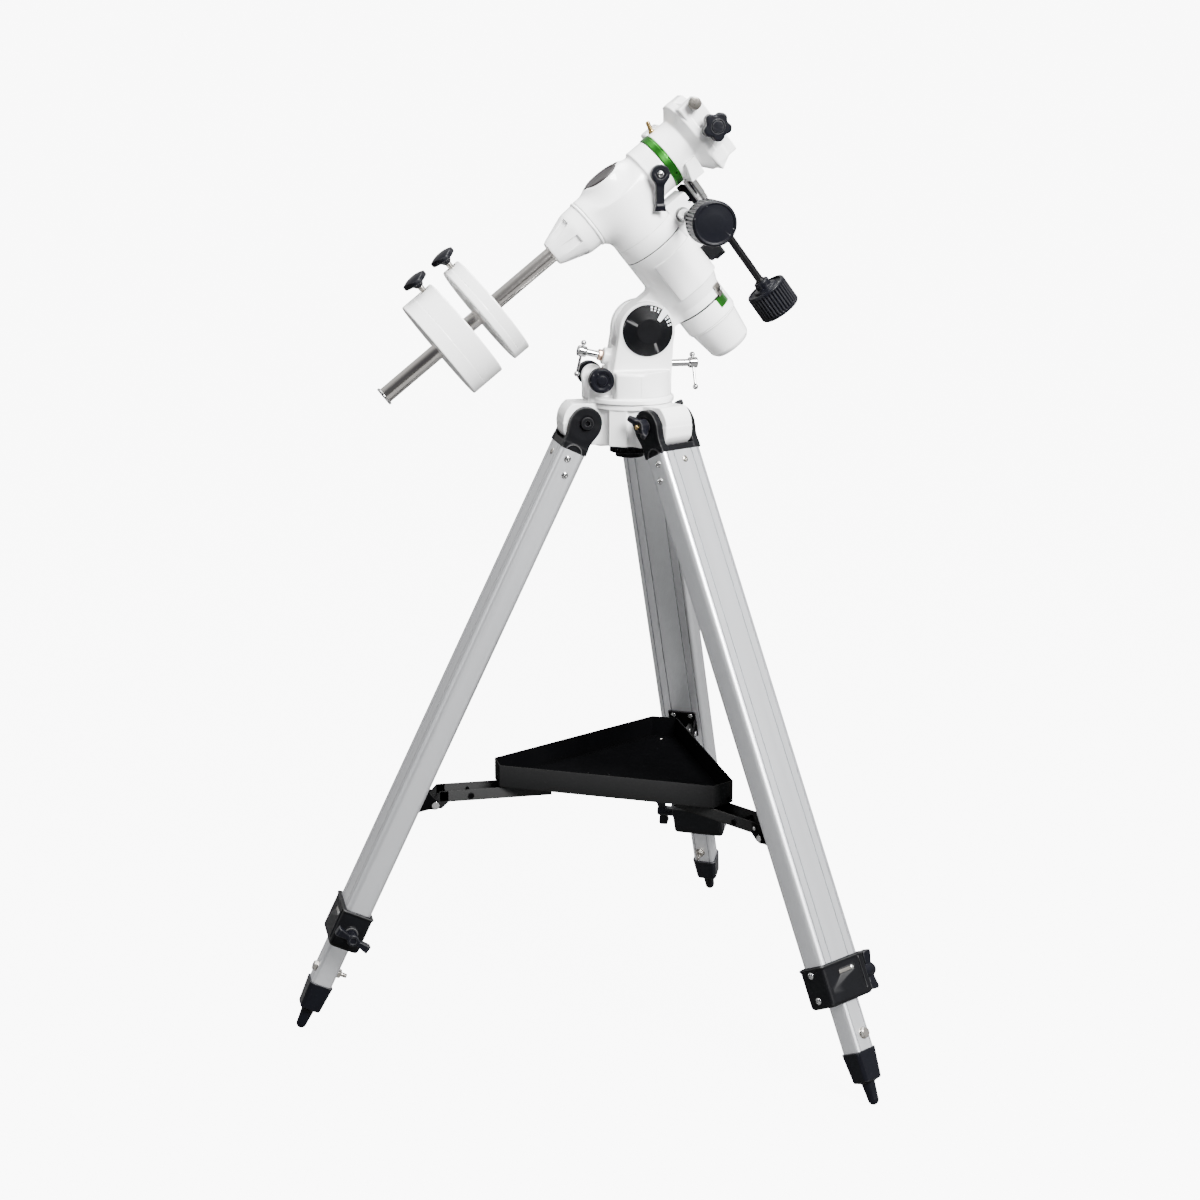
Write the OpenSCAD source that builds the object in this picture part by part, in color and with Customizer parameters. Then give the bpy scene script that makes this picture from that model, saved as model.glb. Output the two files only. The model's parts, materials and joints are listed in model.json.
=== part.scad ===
// German equatorial mount on a folding aluminium tripod.
// Floor at z = 0, +Z up, polar axis tilted towards -X (north), -Y is west.
// The origin is under the middle of the whole object.

/* [Pointing] */
// Latitude that the polar axis is set to, degrees
latitude = 51.03; // [35:0.01:65]
// Height of the latitude hinge above the floor
tilt_z = 802; // [795:0.5:810]
// Offset of the latitude hinge south of the azimuth axis
tilt_x = 14; // [10:0.5:18]

/* [Tripod] */
// Distance of the leg hinges from the azimuth axis
pivot_r = 55.8; // [54:0.1:58]
// Height of the leg hinges
pivot_z = 701.4; // [690:0.1:702]
// Radius of the circle that the feet stand on
foot_r = 390.4; // [360:0.1:400]
// Width of the upper leg extrusion
leg_w = 60; // [56:1:62]
// Thickness of the upper leg extrusion
leg_t = 30; // [28:1:32]
// Distance along the leg from its hinge to the foot of the clamp
clamp_end = 662; // [655:1:668]

/* [Tray] */
// Height of the top of the tray's rim
tray_top = 306.7; // [300:0.1:312]
// Height of the tray's rim
tray_rim = 25.7; // [20:0.1:30]
// Distance of the tray's three short edges from the azimuth axis
tray_r = 155.2; // [145:0.1:160]

/* [Head] */
// Distance of the polar axis from the latitude hinge
ra_offset = 67.8; // [66:0.1:70]
// Distance from the latitude hinge up to the crossing of the two axes
ra_rise = 129.6; // [125:0.1:135]
// Radius of the polar axis housing
ra_r = 36.5; // [35.5:0.1:37.5]
// Radius of the bore that the polar sight looks through
sight_r = 11; // [9:0.5:12]
// Radius of the slow motion knobs
slow_r = 24.3; // [22:0.1:24.5]

/* [Counterweights] */
// Radius of the counterweight bar
bar_r = 9; // [8:0.1:9.5]
// Distance of the bar's outer end from the polar axis
bar_end = 338.3; // [330:0.1:350]
// Radius of both counterweights
weight_r = 61; // [55:0.5:65]
// Thickness of the large counterweight
weight_large_t = 41; // [38:1:44]
// Thickness of the small counterweight
weight_small_t = 21; // [18:1:24]

/* [Hidden] */
$fn = 64;
LEGS = ["north", "west", "east"];
LEG_DIR = [180, -60, 60];
LEG_NODES = ["yoke", "upper_leg", "clamp", "clamp_knob", "lower_leg", "foot", "brace_bracket", "brace_arm"];

white = "whitesmoke";
black = "#222326";
alloy = "silver";
green = "#2f8f2a";

fit = 0.05;       // running fit of a shaft in its hole, radial
gap = 0.3;        // clearance between neighbouring bodies
eps = 0.01;       // overshoot of a cut past the face that it opens

axis_x = 87.7;    // the azimuth axis lies this far south of the origin
tip_r = 6;        // rounded foot tip
leg_run = foot_r - pivot_r;
splay = atan2(leg_run, pivot_z);
tip_end = (pivot_z - tip_r) / cos(splay);

lug_r = 24.5;     // rounded lug of the hub around each leg hinge
lug_w = 39.4;
lug_reach = 27;   // farthest that the lug reaches from the hinge, clear of the yoke
ear_r = 18;
ear_gap = 40;     // space between a yoke's two ears
pivot_bolt_r = 4;
leg_top = 35;     // where the aluminium extrusion starts below the hinge
leg_end = 650;
inner_w = 27;     // lower leg section
inner_t = 25;
inner_top = 150;
cap_top = 716;
clamp_top = 616;
clamp_wall = 3;
clamp_knob_at = 640;
hub_top = 721.7;
hub_bottom = 675;
hub_r = 44;
flange_r = 47.5;
mount_bolt_r = 5;
spigot_r = 15;

brace_pin_at = 468.4;  // arm pin, measured down the leg from its hinge
brace_pin_in = 30.4;   // and inwards from the leg's middle plane
brace_l = 136;
brace_w = 30;
brace_h = 13;
sheet = 2;             // thickness of the folded sheet parts

fork_gap = 25.6;       // space between the fork's two cheeks
cheek_t = 12;
cheek_r = 31.5;
fork_bottom = 722;
fork_r = 46.5;
tilt_axle_r = 6;
azimuth_x = -40;       // the azimuth screws press on the hub's peg here
azimuth_z = 749;
peg_w = 8;
push = 40;             // distance of the latitude bolts' thrust below the hinge
push_r = 7;            // round nose of the tilting lug between the bolts
bolt_gap = 1.45;       // clearance from the round nose to each bolt
north_slope = 13;      // incline of the northern latitude bolt

seam_p = -64;          // joint face between the polar housing and its worm housing
worm_q = 42.5;         // polar worm, measured from the polar axis
worm_p = -56.5;
wheel_r = 33.3;        // polar worm wheel over its teeth
dec_worm_y = 28;
dec_wheel_r = 20.6;
dec_worm_q = 79.5;
dec_worm_p = -55;
dec_worm_lean = 2.2;
dec_r = 28;
dec_face = 58.8;       // end of the declination housing at the setting circle
lock_y = 38;

module on_axis() translate([axis_x, 0, 0]) children();
module leg_frame(i) on_axis() rotate(LEG_DIR[i]) translate([pivot_r, 0, pivot_z]) rotate([0, -splay, 0])
    children();
module arm_frame(i) leg_frame(i) translate([-brace_pin_in, 0, -brace_pin_at]) rotate([0, splay, 0])
    children();
module tilt_frame() on_axis() translate([tilt_x, 0, tilt_z]) children();
// Head frame: x runs along the declination axis to the saddle, z along the polar axis to the pole
module head() tilt_frame() rotate([0, latitude - 90, 0]) translate([ra_offset, 0, ra_rise]) children();
module dec_worm_frame() head() translate([dec_worm_q, dec_worm_y, dec_worm_p]) rotate([0, dec_worm_lean, 0])
    children();

// Cylinder between two stations on one axis
module cyl_x(a, b, r) translate([min(a, b), 0, 0]) rotate([0, 90, 0]) cylinder(h = abs(b - a), r = r);
module cyl_y(a, b, r) translate([0, max(a, b), 0]) rotate([90, 0, 0]) cylinder(h = abs(b - a), r = r);
module cyl_z(a, b, r) translate([0, 0, min(a, b)]) cylinder(h = abs(b - a), r = r);
// Box between two corners
module block(lo, hi) translate(lo) cube(hi - lo);
// Profile in x and z, extruded along y between two stations
module slab_y(a, b) translate([0, b, 0]) rotate([90, 0, 0]) linear_extrude(b - a) children();
// Knob on the z axis: rounded rim and a collar towards +z
module slow_knob(r, l, collar_r, collar_l) {
    rotate_extrude() polygon([[0, -l], [r - 4, -l], [r, -l + 4], [r, -6], [r - 6, 0],
                              [collar_r, 0], [collar_r, collar_l], [0, collar_l]]);
}
// Flat star knob on the z axis with rounded lobes
module star_knob(r, t, lobes) {
    cylinder(h = t, r = r * 0.72);
    for (k = [0 : lobes - 1]) rotate(k * 360 / lobes)
        translate([r * 0.72, 0, 0]) cylinder(h = t, r = r * 0.28);
}

// ---- tripod legs ----
module yoke(i) color(black) leg_frame(i) difference() {
    union() {
        for (side = [-1, 1]) {
            y0 = side > 0 ? ear_gap / 2 : -leg_w / 2;
            translate([0, y0, 0]) {
                translate([0, leg_w / 2 - ear_gap / 2, 0]) rotate([90, 0, 0])
                    cylinder(h = leg_w / 2 - ear_gap / 2, r = ear_r);
                block([-leg_t / 2, 0, -leg_top], [leg_t / 2, leg_w / 2 - ear_gap / 2, -ear_r * 0.5]);
            }
        }
        block([-leg_t / 2, -leg_w / 2, -leg_top], [leg_t / 2, leg_w / 2, -27.5]);
    }
    cyl_y(-leg_w, leg_w, pivot_bolt_r + fit);
}
module upper_leg(i) color(alloy) leg_frame(i) translate([0, 0, -leg_end]) linear_extrude(leg_end - leg_top)
    difference() {
        union() {
            square([leg_t, leg_w - 8], center = true);
            square([leg_t - 8, leg_w], center = true);
            for (x = [-1, 1], y = [-1, 1])
                translate([x * (leg_t / 2 - 4), y * (leg_w / 2 - 4)]) circle(r = 4);
        }
        square([inner_t + 2 * gap, inner_w + 2 * gap], center = true);
        for (y = [-1, 1]) translate([0, y * 21.5]) square([24, 11], center = true);
        for (y = [-1, 1]) translate([leg_t / 2, y * 14]) square([1.6, 1.2], center = true);
    }
module clamp(i) color(black) leg_frame(i) difference() {
    union() {
        block([-leg_t / 2 - clamp_wall, -leg_w / 2 - clamp_wall, -clamp_end],
              [leg_t / 2 + clamp_wall, leg_w / 2 + clamp_wall, -clamp_top]);
        translate([0, 0, -clamp_knob_at]) cyl_y(leg_w / 2, leg_w / 2 + 7, 8);
    }
    block([-leg_t / 2, -leg_w / 2, -leg_end], [leg_t / 2, leg_w / 2, -clamp_top + eps]);
    block([-inner_t / 2 - gap, -inner_w / 2 - gap, -clamp_end - eps],
          [inner_t / 2 + gap, inner_w / 2 + gap, -clamp_top]);
    translate([0, 0, -clamp_knob_at]) cyl_y(leg_w / 2 - eps, leg_w / 2 + 8, 3 + fit);
}
module clamp_knob(i) color(black) leg_frame(i) translate([0, leg_w / 2, -clamp_knob_at]) {
    cyl_y(0.5, 12, 3);
    cyl_y(8, 28, 8);
    for (side = [-1, 1]) block([-2.5, 16, min(side * 6, side * 22)], [2.5, 27, max(side * 6, side * 22)]);
}
module lower_leg(i) color(alloy) leg_frame(i) difference() {
    block([-inner_t / 2, -inner_w / 2, -cap_top], [inner_t / 2, inner_w / 2, -inner_top]);
    block([-inner_t / 2 + 2, -inner_w / 2 + 2, -cap_top + 10],
          [inner_t / 2 - 2, inner_w / 2 - 2, -inner_top + eps]);
}
module foot(i) color(black) leg_frame(i) {
    block([-14, -15.5, -cap_top - 26], [14, 15.5, -cap_top]);
    translate([0, 0, -tip_end]) cylinder(h = tip_end - cap_top - 26, r1 = 6, r2 = 10);
    translate([0, 0, -tip_end]) sphere(r = tip_r);
}
module brace_bracket(i) color(black) leg_frame(i) difference() {
    union() {
        block([-leg_t / 2 - sheet, -17.6, -brace_pin_at - 16], [-leg_t / 2, 17.6, -brace_pin_at + 22]);
        for (y = [-17.6, 15.6]) translate([0, y + sheet, 0]) rotate([90, 0, 0]) linear_extrude(sheet) {
            translate([-brace_pin_in, -brace_pin_at]) circle(r = 6);
            polygon([[-brace_pin_in - 3, -brace_pin_at + 5.1], [-brace_pin_in, -brace_pin_at - 6],
                     [-leg_t / 2 - 1, -brace_pin_at - 16], [-leg_t / 2 - 1, -brace_pin_at + 10]]);
        }
        translate([-brace_pin_in, 0, -brace_pin_at]) cyl_y(-19.6, 19.6, 2.5);
    }
    block([-leg_t / 2 - eps, -10, -brace_pin_at - 10], [-leg_t / 2 + 1, 10, -brace_pin_at + 14]);
}
module brace_arm(i) color(black) arm_frame(i) difference() {
    union() {
        block([-brace_l, -brace_w / 2, 1], [0, brace_w / 2, 1 + brace_h]);
        for (y = [-brace_w / 2, brace_w / 2 - sheet]) translate([0, y, 0]) {
            cyl_y(0, sheet, 6);
            block([-14, 0, -3], [0, sheet, 3]);
        }
    }
    block([-brace_l - eps, -brace_w / 2 + sheet, 1 + sheet], [8, brace_w / 2 - sheet, 2 + brace_h]);
    block([-9, -brace_w / 2 + sheet, -7], [8, brace_w / 2 - sheet, 5]);
    cyl_y(-brace_w, brace_w, 2.5 + fit);
}

// ---- hub and tray ----
module leg_pivot_bolts() color(alloy) for (i = [0 : 2]) leg_frame(i) {
    cyl_y(-leg_w / 2 - 12, leg_w / 2 + 1, pivot_bolt_r);
    cyl_y(leg_w / 2 + gap, leg_w / 2 + 5, 7);
    cyl_y(-leg_w / 2 - 8, -leg_w / 2 - gap, 7);
    for (x = [-1, 1])
        block([min(x * 5, x * 15), -leg_w / 2 - 8, -2], [max(x * 5, x * 15), -leg_w / 2 - 3, 2]);
}
// Triangle with cropped corners that point at the legs
function tray_outline(r, w) = [for (a = LEG_DIR) for (s = [-1, 1])
    [r * cos(a) - s * w * sin(a), r * sin(a) + s * w * cos(a)]];
module tray_plan(inset) {
    half = 15.9 - inset / sqrt(3);
    polygon(tray_outline(tray_r - inset, half));
}
module tray() color(black) on_axis() translate([0, 0, tray_top - tray_rim]) difference() {
    linear_extrude(tray_rim) tray_plan(0);
    translate([0, 0, sheet]) linear_extrude(tray_rim) tray_plan(sheet);
}
module tripod_hub() color(white) on_axis() union() {
    hub_casting();
    block([azimuth_x - 5, -peg_w / 2, hub_top - 5], [azimuth_x + 5, peg_w / 2, azimuth_z + 8]);
}
module hub_casting() difference() {
    union() {
        cyl_z(hub_bottom, hub_top, hub_r);
        cyl_z(hub_top - 6, hub_top, flange_r);
        for (a = LEG_DIR) rotate(a) {
            block([0, -lug_w / 2, hub_bottom], [pivot_r, lug_w / 2, hub_top]);
            translate([pivot_r, 0, pivot_z]) cyl_y(-lug_w / 2, lug_w / 2, lug_r);
            intersection() {
                block([pivot_r, -lug_w / 2, hub_bottom + 3], [pivot_r + lug_r, lug_w / 2, pivot_z]);
                translate([pivot_r, 0, pivot_z]) cyl_y(-lug_w / 2, lug_w / 2, lug_reach);
            }
        }
    }
    for (a = LEG_DIR) rotate(a) translate([pivot_r, 0, pivot_z]) {
        cyl_y(-leg_w, leg_w, pivot_bolt_r + fit);
        for (s = [-1, 1]) cyl_y(s * lug_w / 2, s * (leg_w / 2 + 1), ear_r + 0.6);
    }
    cyl_z(hub_top, hub_top + 10, 50);
    cyl_z(hub_top - 10, hub_top + 1, spigot_r);
    cyl_z(hub_bottom - 1, hub_top, mount_bolt_r + gap);
}
module mount_knob() color(black) on_axis() {
    cyl_z(hub_bottom - 12, hub_bottom - gap, 23);
    cyl_z(hub_bottom - 17, hub_bottom - 12, 16);
    cyl_z(hub_bottom - gap, 738, mount_bolt_r);
}

// ---- fork ----
module fork_profile() {
    translate([tilt_x, tilt_z]) circle(r = cheek_r);
    polygon([[-27, 730], [-27, 745], [tilt_x - cheek_r, tilt_z], [tilt_x + cheek_r, tilt_z],
             [42, 756], [42, 730]]);
}
module fork() color(white) on_axis() difference() {
    union() {
        cyl_z(fork_bottom + 6, 757, fork_r);
        cyl_z(fork_bottom, fork_bottom + 6, 49.5);
        cyl_z(hub_top - 9, fork_bottom + 1, spigot_r - fit);
        slab_y(-fork_gap / 2 - cheek_t, fork_gap / 2 + cheek_t) fork_profile();
        for (s = [-1, 1]) {
            translate([azimuth_x, 0, azimuth_z]) cyl_y(s * 12.8, s * 20.8, 11);
            block([azimuth_x - 11, min(s * 12.8, s * 20.8), fork_bottom + 6],
                  [-20, max(s * 12.8, s * 20.8), azimuth_z]);
        }
        north_bolt_line() cyl_x(-49, -28, 9.5);
    }
    for (y = [-60, 21]) block([-60, y, fork_bottom + 6], [-24.5, y + 39, 765]);
    block([-19, -fork_gap / 2, 745], [37, fork_gap / 2, 850]);
    block([-60, -fork_gap / 2, 784], [60, fork_gap / 2, 850]);
    block([-52, -12.8, fork_bottom - 1], [-28, 12.8, 757 + 2]);
    translate([tilt_x, 0, tilt_z]) cyl_y(-40, 40, tilt_axle_r + fit);
    translate([azimuth_x, 0, azimuth_z]) cyl_y(-30, 30, 4 + fit);
    cyl_z(hub_top - 10, 741, mount_bolt_r + fit);
    north_bolt_line() cyl_x(-50, 0, 4 + fit);
    translate([0, 0, tilt_z - push]) cyl_x(20, 60, 4 + fit);
}
module azimuth_knob(s) color(black) on_axis() translate([azimuth_x, 0, azimuth_z]) {
    cyl_y(s * (peg_w / 2 + 0.8), s * 28, 4);
    cyl_y(s * 27, s * 36, 14);
    cyl_y(s * 36, s * 40, 11);
}
// The bolt's own line: x runs along it, 0 at the lug's round nose
module north_bolt_line() translate([tilt_x, 0, tilt_z - push]) rotate([0, north_slope, 0]) children();
module latitude_bolt_north() color(alloy) on_axis() north_bolt_line() difference() {
    union() {
        cyl_x(-push_r - bolt_gap, -70, 4);
        cyl_x(-66, -76, 6);
    }
    translate([-71, 0, 0]) cyl_z(-8, 8, 1.6);
}
module latitude_bolt_south() color(alloy) on_axis() translate([tilt_x, 0, tilt_z - push]) difference() {
    union() {
        cyl_x(push_r + bolt_gap, 58, 4);
        cyl_x(54, 64, 6);
    }
    translate([59, 0, 0]) rotate([-25, 0, 0]) cyl_z(-8, 8, 1.6);
}
module tommy_bar(top, bottom) {
    cyl_z(bottom, top, 1.5);
    for (z = [top, bottom]) translate([0, 0, z]) sphere(r = 3.2);
}
module tommy_bar_north() color(alloy) on_axis() north_bolt_line() translate([-71, 0, 0])
    tommy_bar(9.4, -26);
module tommy_bar_south() color(alloy) on_axis() translate([tilt_x + 59, 0, tilt_z - push]) rotate([-25, 0, 0])
    tommy_bar(9.4, -28.6);

// ---- tilting polar housing ----
module latitude_dial() color(black) tilt_frame() {
    cyl_y(-fork_gap / 2 - cheek_t - 2, fork_gap / 2 + cheek_t + 6, tilt_axle_r);
    translate([0, -fork_gap / 2 - cheek_t - gap, 0]) rotate([90, 0, 0]) {
        cylinder(h = 3, r = 28.5);
        translate([0, 0, 3]) cylinder(h = 7, r1 = 28.5, r2 = 14);
    }
    cyl_y(fork_gap / 2 + cheek_t + gap, fork_gap / 2 + cheek_t + 7, 10);
}
module ra_housing() color(white) difference() {
    union() {
        head() {
            cyl_z(seam_p, -128, ra_r);
            translate([0, 0, -141]) cylinder(h = 13, r1 = 31.5, r2 = ra_r);
            cyl_z(-141, -172.8, 31.3);
            translate([-ra_offset, 0, -ra_rise]) cyl_y(-fork_gap / 2 + gap, fork_gap / 2 - gap, 29);
            block([-ra_offset, -fork_gap / 2 + gap, -150], [-25, fork_gap / 2 - gap, -101]);
        }
        tilt_frame() {
            block([-push_r, -10, -push], [push_r, 10, -20]);
            translate([0, 0, -push]) cyl_y(-10, 10, push_r);
        }
    }
    head() cyl_z(-174, seam_p + 1, 20 + fit);
    head() cyl_z(-174, -150, 29.6 + gap);
    head() rotate(-48) block([20, -7, -162.5], [40, 7, -152]);
    tilt_frame() cyl_y(-30, 30, tilt_axle_r);
}
module ra_worm_housing() color(white) head() difference() {
    union() {
        cyl_z(seam_p, -46.5, ra_r);
        block([25, -20, -75], [60, 20, -38]);
        block([37.5, -20, -98], [60, 20, -70]);
    }
    cyl_z(-46.5, -30, ra_r + 0.7);
    cyl_z(seam_p, -110, ra_r);
    cyl_z(seam_p - 1, -46, wheel_r + 0.5);
    translate([worm_q, 0, worm_p]) {
        cyl_y(-16, 16, 9.2);
        cyl_y(-21, 21, 5 + fit);
    }
}
module rear_cap() color(white) head() translate([0, 0, -173.1]) difference() {
    rotate_extrude() polygon([[0, 0], [30, 0], [28.6, -4], [24.6, -34], [20, -39], [0, -39]]);
    translate([0, 0, -35]) cylinder(h = 36, r = 22);
}
module ra_worm() color(alloy) head() translate([worm_q, 0, worm_p]) {
    cyl_y(-40, 19, 5);
    cyl_y(-14, 14, 8.6);
    cyl_y(-22.6, -20.3, 8.2);
    cyl_y(-27, -52, 7);
}
module ra_knob() color(black) head() translate([worm_q, 0, worm_p]) rotate([90, 0, 0]) mirror([0, 0, 1]) {
    translate([0, 0, -125]) cylinder(h = 72.5, r = 4.5);
    translate([0, 0, -122]) slow_knob(slow_r, 36, 9, 8);
}

// ---- declination housing, turns on the polar axis ----
module dec_housing() color(white) head() difference() {
    union() {
        cyl_z(-46.2, 0, 36.2);
        cyl_x(-42, 40, dec_r);
        cyl_x(38, dec_face, 30.8);
        cyl_x(dec_face - 1, 86, 16);
        cyl_x(77.5, 86, dec_wheel_r);
        cyl_z(0, 29, 22.5);
        translate([47.9, 0, -2.6]) cyl_y(-29, -lock_y + 6 + gap, 7);
        translate([0, 0, -25.5]) cyl_y(34, lock_y - gap, 7);
    }
    cyl_x(-44, 57.5, 14 + fit);
    cyl_x(57, 90, 11 + fit);
    cyl_z(-50, 31, sight_r + 3);
    cyl_z(-47, -30, 20);
    cyl_z(26, 31, 20.5);
    translate([47.9, 0, -2.6]) cyl_y(-12, -50, 3 + fit);
    translate([0, 0, -25.5]) cyl_y(10, 50, 3 + fit);
}
module ra_shaft() color(alloy) head() difference() {
    union() {
        cyl_z(-30, -168, 20);
        cyl_z(-49, -62, wheel_r);
    }
    cyl_z(-29, -169, sight_r);
}
module ra_circle() color(green) head() difference() {
    cyl_z(-153, -168, 29.5);
    cyl_z(-152, -169, 20);
}
module polar_cap() color(black) head() {
    cyl_z(29.2, 32, 22);
    cyl_z(26.2, 29.3, 20.2);
}
// Lock lever on the y axis: round head, arm towards -z and a foot
module lever(l) {
    cyl_y(-4, 4, 8.7);
    block([-3.6, -3.5, -l + 4], [3.6, 3.5, 0]);
    block([-6, -3.8, -l], [6, 3.8, -l + 5]);
}
module dec_lever() color(black) head() translate([47.9, -lock_y + 2, -2.6]) {
    rotate([0, 90 - latitude, 0]) lever(40);
    cyl_y(2, 21.5, 3);
}
module ra_lever() color(black) head() translate([0, lock_y + 4, -25.5]) {
    rotate([0, 180, 0]) lever(40);
    cyl_y(-4, -22, 3);
}

// ---- saddle and declination shaft ----
module saddle() color(white) head() difference() {
    union() {
        cyl_x(68.2, 100, 31.5);
        translate([96, 0, 0]) rotate([0, 90, 0]) cylinder(h = 6, r1 = 33, r2 = 45);
        cyl_x(102, 113, 45);
        block([104, -38, -44], [132, 38, 40]);
        translate([0, dec_worm_y, 0]) block([68.5, -2, -33], [90, 15, 30]);
    }
    dovetail_slot();
    cyl_x(68, 88, 26);
    cyl_x(80, 115, 11);
    dec_worm_space();
    translate([125, 0, 0.6]) cyl_y(-60, -10, 4 + fit);
    translate([123, 0, 33.5]) cyl_y(-60, -10, 2.5 + fit);
    block([112, -60, -60], [140, -37.9, -24]);
    block([112, -60, 40], [140, 60, 60]);
}
// Dovetail slot along the polar direction, 44 mm at its floor
module dovetail_slot() translate([0, 0, -60]) linear_extrude(120)
    polygon([[116, -22], [116, 22], [132.1, 17.7], [132.1, -17.7]]);
module dec_worm_space() translate([dec_worm_q, dec_worm_y, dec_worm_p]) rotate([0, dec_worm_lean, 0]) {
    cyl_z(45, 72, 7.6);
    cyl_z(10, 77, 4 + fit);
}
module dec_shaft() color(alloy) head() difference() {
    union() {
        cyl_x(-50, 115, 11);
        cyl_x(-40, 56.7, 14);
    }
    cyl_z(-20, 20, 9);
}
module dec_circle() color(green) head() difference() {
    cyl_x(dec_face + gap, 68, 32);
    cyl_x(dec_face, 69, 16 + gap);
}
module nose() color(white) head() difference() {
    rotate([0, -90, 0]) rotate_extrude()
        polygon([[0, 42.4], [27, 42.4], [27.2, 46], [26.4, 61], [15.4, 93], [14, 95.2], [0, 95.2]]);
    cyl_x(-41, -50.5, 11);
    cyl_x(-50, -96, bar_r);
}
module counterweight_bar() color(alloy) head() {
    cyl_x(-56, -bar_end + 3, bar_r);
    cyl_x(-bar_end + 3, -bar_end, 11);
}
module dec_worm() color(alloy) dec_worm_frame() {
    cyl_z(-10, 75, 4);
    cyl_z(47, 66, 7);
    cyl_z(-14, 15, 6.5);
}
module dec_knob() color(black) dec_worm_frame() {
    cyl_z(-14, -128, 4.5);
    translate([0, 0, -136]) slow_knob(slow_r, 40, 9, 9);
}
module saddle_knob() color(black) head() translate([125, 0, 0.6]) {
    cyl_y(-23, -48, 4);
    translate([0, -47, 0]) rotate([90, 0, 0]) star_knob(16, 14, 5);
}
module saddle_screw() color(alloy) head() translate([123, 0, 33.5]) {
    cyl_y(-23, -42, 2.5);
    cyl_y(-40, -49, 5.5);
}

// ---- counterweights ----
// q_in is the face nearest the polar axis
module weight(q_in, t, knob_q) color(white) head() difference() {
    translate([-q_in, 0, 0]) rotate([0, -90, 0]) rotate_extrude()
        polygon([[bar_r + 0.2, 0], [weight_r - 1, 0], [weight_r, 1], [weight_r, t - 1], [weight_r - 1, t],
                 [bar_r + 0.2, t]]);
    translate([-knob_q, 0, 0]) cyl_z(0, weight_r + 2, 3 + fit);
}
module weight_knob(knob_q) color(black) head() translate([-knob_q, 0, 0]) {
    cyl_z(bar_r + 0.3, weight_r + 12, 3);
    translate([0, 0, weight_r + 9.5]) star_knob(15.5, 9, 3);
    translate([0, 0, weight_r + 5]) cylinder(h = 5, r1 = 5, r2 = 9);
}
module weight_large() weight(218.5, weight_large_t, 229.5);
module weight_small() weight(179.5, weight_small_t, 190);
module weight_knob_large() weight_knob(229.5);
module weight_knob_small() weight_knob(190);

for (i = [0 : 2]) {
    yoke(i);
    upper_leg(i);
    clamp(i);
    clamp_knob(i);
    lower_leg(i);
    foot(i);
    brace_bracket(i);
    brace_arm(i);
}
leg_pivot_bolts();
tray();
tripod_hub();
mount_knob();
fork();
azimuth_knob(-1);  // azimuth_knob_west
azimuth_knob(1);  // azimuth_knob_east
latitude_dial();
latitude_bolt_north();
latitude_bolt_south();
tommy_bar_north();
tommy_bar_south();
ra_housing();
ra_worm_housing();
rear_cap();
ra_worm();
ra_knob();
dec_housing();
ra_shaft();
ra_circle();
polar_cap();
dec_lever();
ra_lever();
saddle();
dec_shaft();
dec_circle();
nose();
counterweight_bar();
dec_worm();
dec_knob();
saddle_knob();
saddle_screw();
weight_large();
weight_small();
weight_knob_large();
weight_knob_small();
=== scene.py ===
"""Looks of the equatorial mount: castings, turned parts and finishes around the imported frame.

Shapes are given in millimetres in local frames, which are placed by the frame's own joints. The head's
frame has its origin where the two axes cross, x along the declination axis and z along the polar axis.
"""
import json
import math

import bmesh
import bpy
import numpy as np
from mathutils import Matrix, Vector


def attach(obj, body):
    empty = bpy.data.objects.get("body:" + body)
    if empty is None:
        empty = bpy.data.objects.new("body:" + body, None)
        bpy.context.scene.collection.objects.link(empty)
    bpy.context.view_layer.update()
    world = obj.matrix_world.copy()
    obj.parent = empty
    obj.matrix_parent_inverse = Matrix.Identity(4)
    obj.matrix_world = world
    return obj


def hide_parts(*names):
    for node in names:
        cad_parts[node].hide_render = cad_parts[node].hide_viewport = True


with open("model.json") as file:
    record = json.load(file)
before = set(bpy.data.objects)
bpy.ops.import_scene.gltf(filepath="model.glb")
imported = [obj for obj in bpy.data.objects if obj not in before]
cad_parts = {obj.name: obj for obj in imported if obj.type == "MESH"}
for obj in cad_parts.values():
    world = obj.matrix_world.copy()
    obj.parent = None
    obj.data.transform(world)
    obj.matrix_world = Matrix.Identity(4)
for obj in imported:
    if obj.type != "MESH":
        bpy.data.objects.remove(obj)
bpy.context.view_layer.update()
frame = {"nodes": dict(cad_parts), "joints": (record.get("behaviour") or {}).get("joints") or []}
joints = {joint["name"]: joint for joint in frame["joints"]}
LEGS = ("north", "west", "east")
MM = 0.001
CAMERA = {"pos": (-0.5004, -2.4898, 1.1048), "azimuth": -13.29, "pitch": -13.28, "roll": 0.26,
          "lens": 68.75, "shift": (-0.0241, -0.0078)}


# ---------------------------------------------------------------- frames
def local_frame(origin, x, z):
    """Millimetres in a local frame with these axes, to metres in the row's frame."""
    z = Vector(z).normalized()
    x = Vector(x)
    x = (x - z * x.dot(z)).normalized()
    y = z.cross(x)
    turn = Matrix((x, y, z)).transposed().to_4x4()
    return Matrix.Translation(Vector(origin)) @ turn @ Matrix.Scale(MM, 4)


def joint_pos(name):
    return Vector(joints[name]["pos_m"])


def joint_axis(name):
    return Vector(joints[name]["axis"]).normalized()


def shifted(place, x=0.0, y=0.0, z=0.0):
    """The same frame with its origin moved along its own axes."""
    return place @ Matrix.Translation((x, y, z))


def turned(place, angle, axis):
    return place @ Matrix.Rotation(math.radians(angle), 4, axis)


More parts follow.
